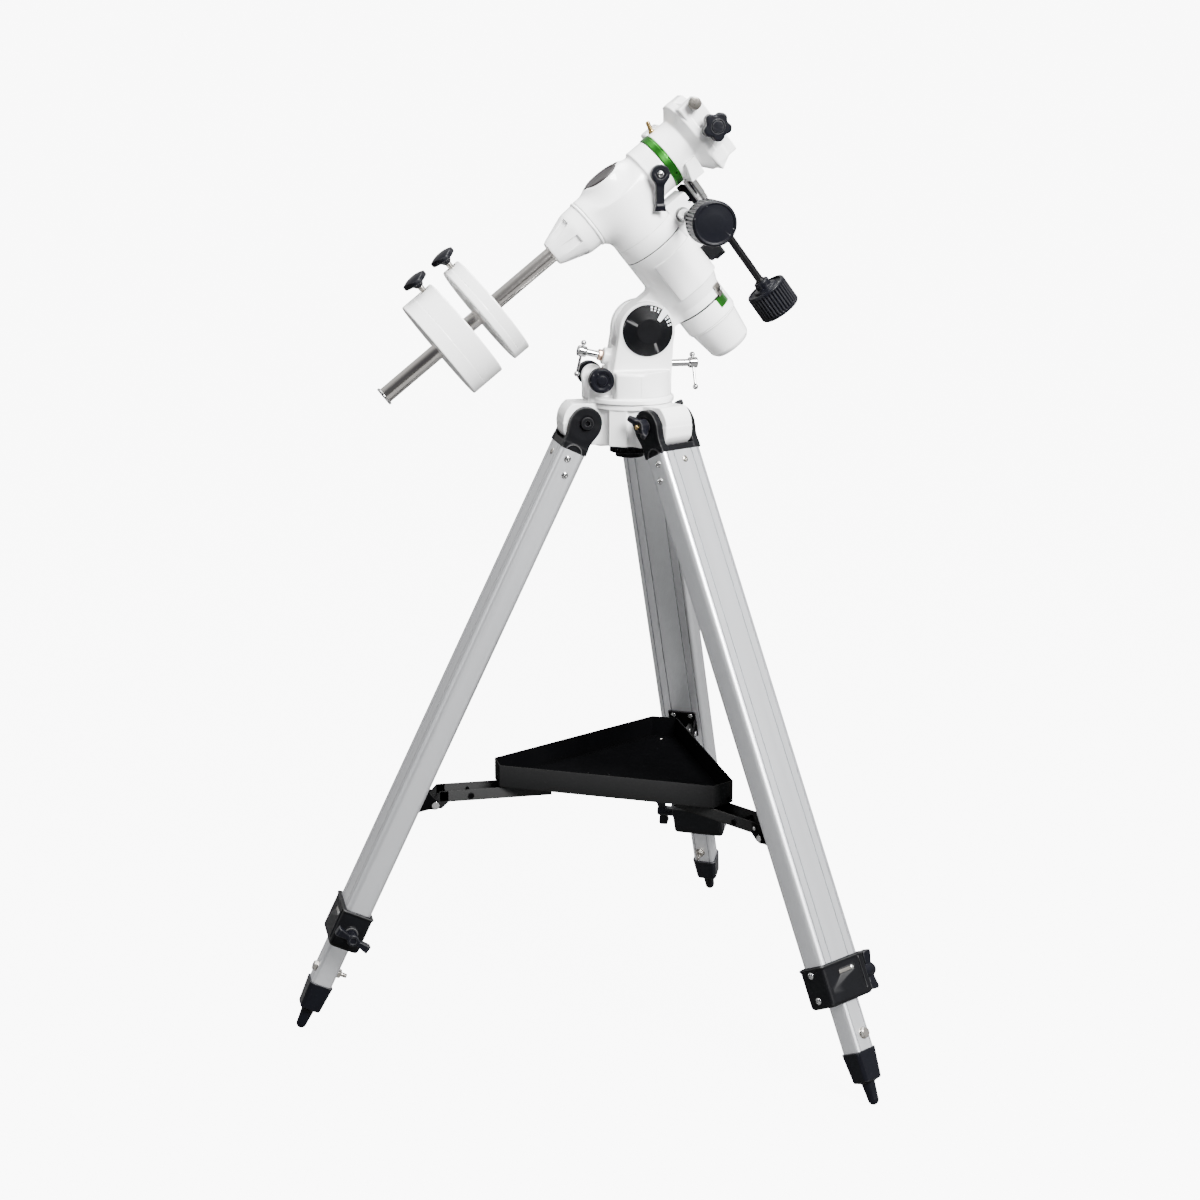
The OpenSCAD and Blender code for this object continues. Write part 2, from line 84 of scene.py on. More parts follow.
UP = Vector((0, 0, 1))
POLE = joint_axis("ra_turn")
HEAD = local_frame(joint_pos("ra_turn"), joint_axis("dec_turn"), POLE)
TILT = local_frame(joint_pos("latitude_tilt"), (1, 0, 0), UP)
BASE = local_frame((joint_pos("mount_knob_turn").x, 0, 0), (1, 0, 0), UP)
DEC_WORM = local_frame(joint_pos("dec_worm_turn"), joint_axis("dec_turn"), joint_axis("dec_worm_turn"))
LEG = {}
for leg in LEGS:
    down = joint_axis(f"leg_{leg}_extend")
    across = joint_axis(f"leg_{leg}_fold")
    LEG[leg] = local_frame(joint_pos(f"leg_{leg}_fold"), across.cross(-down), -down)


# ---------------------------------------------------------------- distance fields
def smin(a, b, k):
    h = np.maximum(k - np.abs(a - b), 0) / k
    return np.minimum(a, b) - h * h * k * 0.25


def smax(a, b, k):
    return -smin(-a, -b, k)


def blend_all(fields, k):
    total = fields[0]
    for field in fields[1:]:
        total = smin(total, field, k)
    return total


def round_box(P, lo, hi, edge=1.0):
    lo, hi = np.array(lo, np.float32), np.array(hi, np.float32)
    d = np.abs(P - (lo + hi) / 2) - ((hi - lo) / 2 - edge)
    outside = np.sqrt((np.maximum(d, 0) ** 2).sum(-1))
    return outside + np.minimum(d.max(-1), 0) - edge


def split(P, axis, centre=(0, 0)):
    """Distance from an axis and station along it; the centre is given in the next two axes."""
    i = "xyz".index(axis)
    u, v = P[..., (i + 1) % 3] - centre[0], P[..., (i + 2) % 3] - centre[1]
    return np.hypot(u, v), P[..., i]


def rod(P, axis, a, b, r, centre=(0, 0), edge=1.0):
    """Cylinder with rounded edges between two stations on an axis."""
    radial, along = split(P, axis, centre)
    radial = radial - r + edge
    along = np.abs(along - (a + b) / 2) - abs(b - a) / 2 + edge
    outside = np.hypot(np.maximum(radial, 0), np.maximum(along, 0))
    return outside + np.minimum(np.maximum(radial, along), 0) - edge


def convex(u, v, points, edge=1.0):
    """Convex outline with rounded corners."""
    sides = list(zip(points, points[1:] + points[:1]))
    area = sum(u0 * v1 - u1 * v0 for (u0, v0), (u1, v1) in sides)
    total = None
    for (u0, v0), (u1, v1) in sides:
        size = math.copysign(math.hypot(u1 - u0, v1 - v0), area)
        side = ((v1 - v0) * (u - u0) - (u1 - u0) * (v - v0)) / size
        total = side if total is None else smax(total, side, edge)
    return total


def spun(P, axis, points, centre=(0, 0), edge=1.0):
    """Convex profile of (radius, station) points turned round an axis."""
    radial, along = split(P, axis, centre)
    return convex(radial, along, points, edge)


def slab(P, axis, a, b, points, edge=1.0):
    """Convex outline extruded along an axis; the points are in the next two axes."""
    i = "xyz".index(axis)
    flat = convex(P[..., (i + 1) % 3], P[..., (i + 2) % 3], points, edge)
    return smax(flat, np.abs(P[..., i] - (a + b) / 2) - abs(b - a) / 2, edge)


def spin(P, axis, angle):
    """The points as seen from a frame turned about the axis."""
    i = "xyz".index(axis)
    j, k = (i + 1) % 3, (i + 2) % 3
    c, s = math.cos(math.radians(angle)), math.sin(math.radians(angle))
    Q = P.copy()
    Q[..., j] = c * P[..., j] + s * P[..., k]
    Q[..., k] = -s * P[..., j] + c * P[..., k]
    return Q


def moved(P, x=0.0, y=0.0, z=0.0):
    return P - np.array((x, y, z), np.float32)


# ---------------------------------------------------------------- meshing
CORNERS = [(i, j, k) for i in (0, 1) for j in (0, 1) for k in (0, 1)]


def gradient(field, points, step=0.05):
    out = np.empty_like(points)
    for axis in range(3):
        shift = np.zeros(3, np.float32)
        shift[axis] = step
        out[:, axis] = field(points + shift) - field(points - shift)
    return out / (2 * step)


def surface_net(field, lo, hi, cell):
    """Vertices and quads of the field's zero level, one vertex in each cell that it crosses."""
    ticks = [np.arange(a - 1.5 * cell, b + 2.5 * cell, cell, dtype=np.float32) for a, b in zip(lo, hi)]
    grid = np.stack(np.meshgrid(*ticks, indexing="ij"), -1)
    d = field(grid).astype(np.float32)
    inside = d < 0
    n = np.array(d.shape) - 1
    count = np.zeros(n, np.int8)
    for i, j, k in CORNERS:
        count += inside[i:n[0] + i, j:n[1] + j, k:n[2] + k]
    active = (count > 0) & (count < 8)
    index = np.full(n, -1, np.int64)
    index[active] = np.arange(active.sum())
    cells = np.argwhere(active)
    total, hits = np.zeros((len(cells), 3)), np.zeros(len(cells))
    for a in CORNERS:
        for axis in range(3):
            if a[axis]:
                continue
            b = tuple(1 if m == axis else a[m] for m in range(3))
            da, db = d[tuple((cells + a).T)], d[tuple((cells + b).T)]
            cross = (da < 0) != (db < 0)
            t = np.where(cross, da / np.where(cross, da - db, 1), 0)
            point = np.array(a, float) + t[:, None] * (np.array(b) - np.array(a))
            total += np.where(cross[:, None], point, 0)
            hits += cross
    origin = np.array([tick[0] for tick in ticks])
    points = (origin + (cells + total / hits[:, None]) * cell).astype(np.float32)
    quads = []
    for axis in range(3):
        j, k = (axis + 1) % 3, (axis + 2) % 3
        step = np.zeros(3, int)
        step[axis] = 1
        near = tuple(slice(0, m - 1 if s else m) for m, s in zip(d.shape, step))
        far = tuple(slice(1, m) if s else slice(0, m) for m, s in zip(d.shape, step))
        edges = np.argwhere(inside[near] != inside[far])
        edges = edges[(edges[:, j] > 0) & (edges[:, k] > 0) & (edges[:, j] < n[j]) & (edges[:, k] < n[k])]
        ring = []
        for dj, dk in ((0, 0), (-1, 0), (-1, -1), (0, -1)):
            at = edges.copy()
            at[:, j] += dj
            at[:, k] += dk
            ring.append(index[tuple(at.T)])
        quad = np.stack(ring, 1)
        flip = ~inside[tuple(edges.T)]
        quad[flip] = quad[flip][:, ::-1]
        quads.append(quad)
    for _ in range(3):
        g = gradient(field, points)
        g2 = np.maximum((g * g).sum(1), 0.05)
        push = (field(points) / g2)[:, None] * g
        size = np.maximum(np.linalg.norm(push, axis=1, keepdims=True), 1e-9)
        points = (points - push * np.minimum(1, 0.5 * cell / size)).astype(np.float32)
    return points, np.concatenate(quads)


def new_object(name, mesh):
    obj = bpy.data.objects.new(name, mesh)
    bpy.context.scene.collection.objects.link(obj)
    return obj


def cast_mesh(name, field, lo, hi, cell, keep=0.35):
    """Mesh of a field in local millimetres, thinned where it is flat, with the field's own normals."""
    points, quads = surface_net(field, lo, hi, cell)
    mesh = bpy.data.meshes.new(name)
    mesh.from_pydata(points.tolist(), [], quads.tolist())
    obj = new_object(name + "_thin", mesh)
    thin = obj.modifiers.new("thin", "DECIMATE")
    thin.ratio = keep
    graph = bpy.context.evaluated_depsgraph_get()
    out = bpy.data.meshes.new_from_object(obj.evaluated_get(graph))
    bpy.data.objects.remove(obj)
    out.name = name
    co = np.empty(len(out.vertices) * 3, np.float32)
    out.vertices.foreach_get("co", co)
    g = gradient(field, co.reshape(-1, 3), 0.15)
    g /= np.maximum(np.linalg.norm(g, axis=1, keepdims=True), 1e-6)
    out.polygons.foreach_set("use_smooth", [True] * len(out.polygons))
    return out, g


def place_cast(name, made, place, body, material, replaces=()):
    mesh, normals = made
    mesh = mesh.copy()
    mesh.name = name
    mesh.transform(place)
    turn = np.array(place.to_3x3().normalized())
    mesh.normals_split_custom_set_from_vertices((normals @ turn.T).tolist())
    return finish_piece(new_object(name, mesh), body, material, replaces)


def cast(name, field, lo, hi, cell, place, body, material, replaces=()):
    """A casting that is used once: meshed and placed."""
    place_cast(name, cast_mesh(name, field, lo, hi, cell), place, body, material, replaces)


def finish_piece(obj, body, material, replaces=()):
    obj.data.materials.clear()
    obj.data.materials.append(material)
    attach(obj, body)
    if replaces:
        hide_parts(*replaces)
    return obj


def mesh_piece(name, verts, faces, place, body, material, replaces=(), sharp=32, bevel=0.0):
    mesh = bpy.data.meshes.new(name)
    mesh.from_pydata([tuple(v) for v in verts], [], faces)
    mesh.transform(place)
    mesh.validate()
    shape = bmesh.new()
    shape.from_mesh(mesh)
    bmesh.ops.remove_doubles(shape, verts=shape.verts, dist=1e-7)
    bmesh.ops.recalc_face_normals(shape, faces=shape.faces)
    if bevel:
        edges = [e for e in shape.edges if len(e.link_faces) == 2 and e.calc_face_angle() > 0.5]
        bmesh.ops.bevel(shape, geom=edges, offset=bevel * MM, segments=2, profile=0.5, affect="EDGES",
                        clamp_overlap=True)
    shape.to_mesh(mesh)
    shape.free()
    mesh.polygons.foreach_set("use_smooth", [True] * len(mesh.polygons))
    mesh.set_sharp_from_angle(angle=math.radians(sharp))
    return finish_piece(new_object(name, mesh), body, material, replaces)


def round_corners(points, r, steps=4):
    """An open profile with its inner corners turned into short arcs."""
    out = [points[0]]
    for before, at, after in zip(points, points[1:], points[2:]):
        a, b, c = np.array(before, float), np.array(at, float), np.array(after, float)
        cut = min(r, 0.45 * np.linalg.norm(a - b), 0.45 * np.linalg.norm(c - b))
        start, end = b + (a - b) / np.linalg.norm(a - b) * cut, b + (c - b) / np.linalg.norm(c - b) * cut
        for t in np.linspace(0, 1, steps + 1):
            out.append(tuple((1 - t) ** 2 * start + 2 * t * (1 - t) * b + t * t * end))
    return out + [points[-1]]


def lathe(name, profile, place, body, material, replaces=(), sides=96, corner=0.6, flutes=None):
    """Profile of (radius, z) points, from the axis to the axis, turned round z.

    flutes is (count, depth, lowest z, highest z, rim radius): that stretch of the rim is fluted."""
    points = round_corners(profile, corner)
    if flutes:
        low, high = flutes[2], flutes[3]
        fine = [points[0]]
        for a, b in zip(points, points[1:]):
            parts = max(1, int(abs(b[1] - a[1]) / 1.5)) if a[0] > 1 and b[0] > 1 else 1
            fine += [tuple(np.array(a) + (np.array(b) - a) * k / parts) for k in range(1, parts + 1)]
        points = fine
        sides = flutes[0] * 8
    verts, rings = [], []
    for r, z in points:
        if r < 1e-6:
            rings.append([len(verts)])
            verts.append((0, 0, z))
            continue
        rings.append(list(range(len(verts), len(verts) + sides)))
        for k in range(sides):
            angle = 2 * math.pi * k / sides
            radius = r
            if flutes:
                fade = min(1, max(0, (z - low) / 1.2), max(0, (high - z) / 1.2))
                wave = 0.5 - 0.5 * math.cos(flutes[0] * angle)
                radius = r - flutes[1] * fade * wave ** 2 * (r > 0.75 * flutes[4])
            verts.append((radius * math.cos(angle), radius * math.sin(angle), z))
    faces = []
    for a, b in zip(rings, rings[1:]):
        for k in range(sides):
            m = (k + 1) % sides
            if len(a) == 1 and len(b) > 1:
                faces.append((a[0], b[m], b[k]))
            elif len(b) == 1 and len(a) > 1:
                faces.append((a[k], a[m], b[0]))
            elif len(a) > 1:
                faces.append((a[k], a[m], b[m], b[k]))
    return mesh_piece(name, verts, faces, place, body, material, replaces, sharp=28)


def prism(name, outline, a, b, place, body, material, replaces=(), bevel=0.4):
    """Outline in local x and y, from z = a to z = b, with its edges broken."""
    n = len(outline)
    verts = [(x, y, a) for x, y in outline] + [(x, y, b) for x, y in outline]
    faces = [tuple(range(n))[::-1], tuple(range(n, 2 * n))]
    faces += [(k, (k + 1) % n, n + (k + 1) % n, n + k) for k in range(n)]
    return mesh_piece(name, verts, faces, place, body, material, replaces, 30, bevel)


def hexagon(r, phase=0.0):
    """Corners of a hexagon at radius r."""
    angles = [math.pi * k / 3 + phase for k in range(6)]
    return [(r * math.cos(angle), r * math.sin(angle)) for angle in angles]


def aim(place, direction, at=(0, 0, 0)):
    """A frame at a local point whose z looks along a local direction."""
    turn = Vector((0, 0, 1)).rotation_difference(Vector(direction)).to_matrix().to_4x4()
    return place @ Matrix.Translation(at) @ turn


# ---------------------------------------------------------------- materials
def finish(name, color, rough, metal=0.0, coat=0.0, tint=0.03, tint_scale=14.0, vary=0.05, grain=0.02,
           grain_scale=900.0, place=None, stretch=(1, 1, 1), edge=0.0, gleam=0.5):
    """A surface with colour drift, uneven gloss and a fine relief; grain is its depth in mm; edge turns the
    colour lighter on sharp convex edges, a painted highlight.

    gleam is how much a surface that is not metal reflects; 0.5 is that of plain paint.

    place and stretch turn the grain along a local axis, as brushing or drawing leaves it."""
    mat = bpy.data.materials.new(name)
    mat.use_nodes = True
    nodes, links = mat.node_tree.nodes, mat.node_tree.links
    shader = nodes["Principled BSDF"]
    shader.inputs["Metallic"].default_value = metal
    shader.inputs["Coat Weight"].default_value = coat
    shader.inputs["Coat Roughness"].default_value = 0.08
    shader.inputs["Specular IOR Level"].default_value = gleam
    coords = nodes.new("ShaderNodeTexCoord").outputs["Object"]
    if place is not None:
        parts = nodes.new("ShaderNodeCombineXYZ")
        turn = place.to_3x3().normalized().transposed()
        for k in range(3):
            dot = nodes.new("ShaderNodeVectorMath")
            dot.operation = "DOT_PRODUCT"
            dot.inputs[1].default_value = turn[k] * stretch[k]
            links.new(coords, dot.inputs[0])
            links.new(dot.outputs["Value"], parts.inputs[k])
        coords = parts.outputs[0]

    def noise(scale, detail):
        node = nodes.new("ShaderNodeTexNoise")
        node.inputs["Scale"].default_value = scale
        node.inputs["Detail"].default_value = detail
        links.new(coords, node.inputs["Vector"])
        return node.outputs["Fac"]

    drift, fine = noise(tint_scale, 4.0), noise(grain_scale, 3.0)
    ramp = nodes.new("ShaderNodeValToRGB")
    for element, side in zip(ramp.color_ramp.elements, (-1, 1)):
        element.position = 0.5 + 0.25 * side
        element.color = [min(1, max(0, c * (1 + tint * side))) for c in color] + [1]
    links.new(drift, ramp.inputs["Fac"])
    base = ramp.outputs["Color"]
    # painted highlight: sharp convex edges get a lighter colour, where light would catch them
    if edge:
        edge_highlight = nodes.new("ShaderNodeMapRange")
        edge_highlight.inputs["From Min"].default_value = 0.52
        edge_highlight.inputs["From Max"].default_value = 0.62
        edge_highlight.inputs["To Max"].default_value = edge
        links.new(nodes.new("ShaderNodeNewGeometry").outputs["Pointiness"], edge_highlight.inputs["Value"])
        mix = nodes.new("ShaderNodeMix")
        mix.data_type = "RGBA"
        mix.inputs["B"].default_value = [min(1, c * 0.5 + 0.28) for c in color] + [1]
        links.new(edge_highlight.outputs["Result"], mix.inputs["Factor"])
        links.new(base, mix.inputs["A"])
        base = mix.outputs["Result"]
    links.new(base, shader.inputs["Base Color"])
    gloss = nodes.new("ShaderNodeMapRange")
    gloss.inputs["To Min"].default_value = max(0.02, rough - vary)
    gloss.inputs["To Max"].default_value = rough + vary
    links.new(noise(grain_scale * 0.2, 4.0), gloss.inputs["Value"])
    links.new(gloss.outputs["Result"], shader.inputs["Roughness"])
    bump = nodes.new("ShaderNodeBump")
    bump.inputs["Distance"].default_value = grain * MM
    bump.inputs["Strength"].default_value = 1.0
    links.new(fine, bump.inputs["Height"])
    links.new(bump.outputs["Normal"], shader.inputs["Normal"])
    return mat


ENAMEL = finish("white_enamel", (0.86, 0.86, 0.86), 0.24, coat=0.35, tint=0.02, grain=0.012, grain_scale=700)
IRON_ENAMEL = finish("white_enamel_on_iron", (0.85, 0.85, 0.845), 0.26, coat=0.35, tint=0.025, grain=0.02,
                     grain_scale=450)
# edge on these black finishes paints a highlight along their sharp edges
NYLON = finish("black_nylon_casting", (0.0024, 0.0025, 0.0032), 0.46, tint=0.2, tint_scale=60, grain=0.03,
               edge=0.4, gleam=0.10)
PLASTIC = finish("black_moulded_plastic", (0.0026, 0.0028, 0.0046), 0.36, tint=0.15, tint_scale=80,
                 grain=0.015, grain_scale=1200, edge=0.35, gleam=0.12)
# black of the cable sleeves, also used for the rings of painted shade in the housing seams
SLEEVE_AND_SEAM_SHADE_BLACK = finish("black_cable_sleeve_and_seam_shade", (0.0022, 0.0022, 0.0025), 0.36, tint=0.2, tint_scale=90, grain=0.03,
                gleam=0.12)
POWDER = finish("black_powder_coat", (0.0014, 0.0014, 0.0016), 0.68, tint=0.2, tint_scale=40, vary=0.08,
                grain=0.05, grain_scale=1600, edge=0.1, gleam=0.004)
CHROME = finish("chrome_plate", (0.50, 0.50, 0.50), 0.09, metal=1.0, tint=0.03, tint_scale=30, vary=0.04,
                grain=0.002, grain_scale=500)
BAR_CHROME = finish("plated_bar", (0.60, 0.575, 0.545), 0.15, metal=1.0, tint=0.03, tint_scale=30, vary=0.04,
                    grain=0.003, grain_scale=900, place=HEAD, stretch=(0.05, 1, 1))
PLATED = {"metal": 1.0, "tint": 0.08, "tint_scale": 60}
NICKEL = finish("nickel_plate", (0.42, 0.40, 0.37), 0.24, grain=0.01, **PLATED)
DARK_NICKEL = finish("dark_nickel_plate", (0.24, 0.225, 0.205), 0.28, grain=0.01, **PLATED)
BRASS = finish("brass", (0.60, 0.42, 0.17), 0.22, grain=0.006, **PLATED)
COPPER = finish("copper_coloured_nut", (0.40, 0.28, 0.22), 0.28, metal=1.0, tint=0.1, tint_scale=60,
                grain=0.01)
GREEN = finish("green_anodised", (0.026, 0.17, 0.020), 0.30, metal=1.0, tint=0.05, tint_scale=50, vary=0.04,
               grain=0.012, grain_scale=900, place=HEAD, stretch=(3.0, 0.15, 0.15))
INK = finish("dial_white", (0.80, 0.82, 0.84), 0.5, tint=0.06, tint_scale=200, grain=0.01)
CAP_BLACK = finish("black_cap", (0.007, 0.005, 0.0055), 0.62, tint=0.5, tint_scale=400, grain=0.05)
STEEL = finish("turned_steel", (0.42, 0.42, 0.42), 0.28, metal=1.0, tint=0.05, tint_scale=40, grain=0.01)
ALLOY = {leg: finish(f"satin_alloy_{leg}", (0.66, 0.67, 0.69), 0.40, metal=0.9, tint=0.03, tint_scale=9,
                     vary=0.07, grain=0.015, grain_scale=700, place=LEG[leg], stretch=(1, 1, 0.02))
         for leg in LEGS}
PAPER_LIGHT = 9.0      # how much brighter the paper looks than its own light makes it


# ---------------------------------------------------------------- camera, light and floor
def studio_world():
    """A white room that is unlit to the left of the camera, in front of a paper-white backdrop."""
    world = bpy.data.worlds.new("studio")
    world.use_nodes = True
    nodes, links = world.node_tree.nodes, world.node_tree.links
    facing = nodes.new("ShaderNodeVectorMath")
    facing.operation = "DOT_PRODUCT"
    azimuth = math.radians(CAMERA["azimuth"] - 28)
    facing.inputs[1].default_value = Vector((math.sin(azimuth), -math.cos(azimuth), -0.1)).normalized()
    links.new(nodes.new("ShaderNodeTexCoord").outputs["Generated"], facing.inputs[0])
    ramp = nodes.new("ShaderNodeValToRGB")
    ramp.color_ramp.elements[0].position = 0.2
    ramp.color_ramp.elements[0].color = (1, 1, 1, 1)
    ramp.color_ramp.elements[1].position = 0.8
    ramp.color_ramp.elements[1].color = (0.12, 0.12, 0.13, 1)
    links.new(facing.outputs["Value"], ramp.inputs["Fac"])
    room = nodes["Background"]
    links.new(ramp.outputs["Color"], room.inputs["Color"])
    room.inputs["Strength"].default_value = 0.95
    paper = nodes.new("ShaderNodeBackground")
    paper.inputs["Color"].default_value = (1, 1, 1, 1)
    paper.inputs["Strength"].default_value = PAPER_LIGHT + 0.1
    mix = nodes.new("ShaderNodeMixShader")
    links.new(nodes.new("ShaderNodeLightPath").outputs["Is Camera Ray"], mix.inputs["Fac"])
    links.new(room.outputs[0], mix.inputs[1])
    links.new(paper.outputs[0], mix.inputs[2])
    links.new(mix.outputs[0], nodes["World Output"].inputs["Surface"])
    return world


def floor_paper():
    """Pale paper that looks as bright as the backdrop, and lights the object as plain paper does."""
    mat = finish("floor_paper", (0.10, 0.10, 0.10), 0.85, tint=0.01, tint_scale=3, grain=0.05,
                 grain_scale=300)
    nodes, links = mat.node_tree.nodes, mat.node_tree.links
    shader = nodes["Principled BSDF"]
    shader.inputs["Emission Color"].default_value = (1, 1, 1, 1)
    glow = nodes.new("ShaderNodeMath")
    glow.operation = "MULTIPLY"
    glow.inputs[1].default_value = PAPER_LIGHT
    links.new(nodes.new("ShaderNodeLightPath").outputs["Is Camera Ray"], glow.inputs[0])
    links.new(glow.outputs[0], shader.inputs["Emission Strength"])
    return mat


def studio():
    camera = bpy.data.objects.new("camera", bpy.data.cameras.new("camera"))
    bpy.context.scene.collection.objects.link(camera)
    camera.data.lens = CAMERA["lens"]
    camera.data.sensor_width = 36
    camera.data.shift_x, camera.data.shift_y = CAMERA["shift"]
    camera.location = CAMERA["pos"]
    look = Matrix.Rotation(math.radians(CAMERA["azimuth"]), 4, "Z")
    tilt = Matrix.Rotation(math.radians(90 + CAMERA["pitch"]), 4, "X")
    roll = Matrix.Rotation(math.radians(CAMERA["roll"]), 4, "Z")
    camera.rotation_euler = (look @ tilt @ roll).to_euler()
    bpy.context.scene.camera = camera
    bpy.context.scene.world = studio_world()
    target = Vector((0, 0, 0.65))
    lamps = (("key", (1.0, -2.4, 2.7), 1.4, 520), ("fill", (-2.6, -0.8, 1.9), 1.2, 20),
             ("top", (0.1, 0.3, 3.2), 1.8, 170))
    for name, place, size, power in lamps:
        light = bpy.data.objects.new(name, bpy.data.lights.new(name, "AREA"))
        light.data.size = size
        light.data.energy = power
        light.location = place
        light.rotation_euler = (target - Vector(place)).to_track_quat("-Z", "Y").to_euler()
        bpy.context.scene.collection.objects.link(light)
    half = 60
    verts = [(-half, -half, 0), (half, -half, 0), (half, half, 0), (-half, half, 0)]
    mesh = bpy.data.meshes.new("floor")
    mesh.from_pydata(verts, [], [(0, 1, 2, 3)])
    floor = new_object("floor", mesh)
    floor.data.materials.append(floor_paper())


# ---------------------------------------------------------------- head castings
SEAM_P = -64           # joint between the polar housing and its worm housing
POLAR_R = 36.5
WINDOW_TURN = -48      # where the right ascension window sits round the polar axis
TILT_Q, TILT_P = -67.8, -129.6   # latitude hinge seen from the crossing of the axes
TAIL_TURN = math.degrees(math.atan2(-POLE.x, POLE.z))   # tilt of the polar axis from upright


def dec_housing(P):
    body = blend_all([rod(P, "x", -42, 40, 28, edge=1.5), rod(P, "z", -46.4, 6, 36.4, edge=0.1),
                      rod(P, "z", -20, 29, 22.5, edge=1.5)], 14)
    body = smin(body, rod(P, "x", 38, 58.8, 30.8, edge=1.2), 5)
    body = smin(body, rod(P, "y", -36, -20, 8.2, centre=(-2.6, 47.9), edge=1), 4)
    body = smin(body, rod(P, "y", 20, 37.7, 8.2, centre=(-25.5, 0), edge=1), 5)
    body = np.maximum(body, -46.4 - P[..., 2])
    body = smax(body, P[..., 0] - 58.8, 0.8)
    return smax(body, -rod(P, "z", 26.2, 40, 20.4, edge=0.3), 0.5)


def ra_worm_housing(P):
    body = rod(P, "z", SEAM_P, -46.45, POLAR_R, edge=0.15)
    boss = round_box(P, (20, -20, -75), (60, 20, -38), 2.0)
    foot = round_box(P, (32, -20, -98), (60, 20, -66), 2.2)
    body = smin(smin(body, boss, 1.2), foot, 4)
    notch = round_box(P, (56.5, -26, -52), (66, 26, -48), 0.6)
    body = smax(body, -notch, 0.8)
    below = smax(P[..., 2] - SEAM_P, -(np.hypot(P[..., 0], P[..., 1]) - POLAR_R - 0.1), 0.2)
    body = smax(body, -smax(-below, SEAM_P - 60 - P[..., 2], 0.1) - 1e3 * (P[..., 2] > SEAM_P), 0.01)
    inner = rod(P, "z", -130, SEAM_P, POLAR_R + 0.05, edge=0.1)
    body = np.maximum(body, -inner)
    upper = rod(P, "z", -46.4, -20, 37.3, edge=0.2)
    return smax(body, -upper, 0.2)


def ra_housing(P):
    top = SEAM_P - 0.9
    body = spun(P, "z", [(0, -141), (31.4, -141), (POLAR_R, -128), (POLAR_R, top), (0, top)], edge=0.5)
    body = smin(body, rod(P, "z", -172.8, -140, 31.3, edge=0.8), 0.5)
    pad = round_box(P, (-19.5, -38.2, -127.5), (44, -12, -79), 1.4)
    pad = smax(pad, np.hypot(P[..., 0], P[..., 1]) - 39.2, 1.4)
    body = smin(body, pad, 0.8)
    lug = rod(P, "y", -12.5, 12.5, 29, centre=(TILT_P, TILT_Q), edge=1.2)
    web = round_box(P, (TILT_Q, -12.5, -150), (-24, 12.5, -101), 1.2)
    body = smin(body, smin(lug, web, 6), 7)
    Q = spin(P, "z", WINDOW_TURN)
    window = round_box(Q, (22, -9.5, -164.5), (44, 9.5, -151.8), 0.8)
    groove = rod(P, "z", -152.4, -150.7, 40, edge=0.2)
    groove = np.maximum(groove, 28.6 - np.hypot(P[..., 0], P[..., 1]))
    body = smax(body, -groove, 0.3)
    tail = spin(moved(P, TILT_Q, 0, TILT_P), "y", TAIL_TURN)
    nose = smin(round_box(tail, (-7, -10, -40), (7, 10, -14), 1), rod(tail, "y", -10, 10, 7, (-40, 0), 1), 3)
    body = smin(body, nose, 4)
    return smax(body, -window, 0.7)


def nose(P):
    Q = P.copy()
    Q[..., 0] = -P[..., 0]
    profile = [(0, 42.4), (27.2, 42.4), (27.2, 46), (26.4, 61), (15.4, 93), (14.2, 95.2), (0, 95.2)]
    body = spun(Q, "x", profile)
    bead = rod(Q, "x", 42.4, 45.4, 28.6, edge=1.2)
    body = smin(body, bead, 1.2)
    radial = np.hypot(P[..., 1], P[..., 2])
    along = Q[..., 0]
    for k in range(6):
        R = spin(P, "x", 60 * k + 4)
        floor = 26.4 - (along - 61) * 0.344 - 3.6 * np.clip(1 - (along - 62) / 26, 0, 1)
        pocket = smax(np.abs(R[..., 2]) - 5.0, 62.5 - along, 0.5)
        pocket = smax(pocket, floor + R[..., 1], 0.8)
        body = smax(body, -smax(pocket, R[..., 1], 0.1), 0.6)
    return np.maximum(body, 9.1 - radial)


def saddle(P):
    neck = rod(P, "x", 68.3, 104, 31.5, edge=1.0)
    worm_cover = round_box(P, (68.6, 20, -33), (90, 43, 30), 3)
    stop_wedge = slab(P, "y", -33.5, -8, [(-33.5, 71), (-13, 77), (-13, 91), (-33.5, 89)], 1.2)
    flare = spun(P, "x", [(0, 94), (32.5, 94), (44, 103.5), (44, 112), (0, 112)], edge=1.0)
    block = round_box(P, (106, -38, -36), (132, 38, 38), 1.6)
    block = smax(block, (P[..., 0] - 132) + 0.42 * (np.abs(P[..., 2] + 1) - 33), 1.5)
    foot = slab(P, "y", -37.5, 37.5, [(-44, 106), (-24, 104), (-24, 119), (-37, 118)], 1.5)
    body = smin(smin(neck, worm_cover, 3), stop_wedge, 1.2)
    body = smin(smin(body, flare, 2.5), smin(block, foot, 4), 1.5)
    dovetail = [(116, -22), (132.2, -17.7), (140, -15.6), (140, 15.6), (132.2, 17.7), (116, 22)]
    body = smax(body, -slab(P, "z", -70, 70, dovetail, 0.3), 0.8)
    body = smax(body, -rod(P, "x", 60, 84, 25.9, edge=0.3), 0.5)
    screw_seat = rod(P, "y", -45, -38.6, 7.4, centre=(33.5, 123), edge=0.3)
    return smax(body, -screw_seat, 0.5)


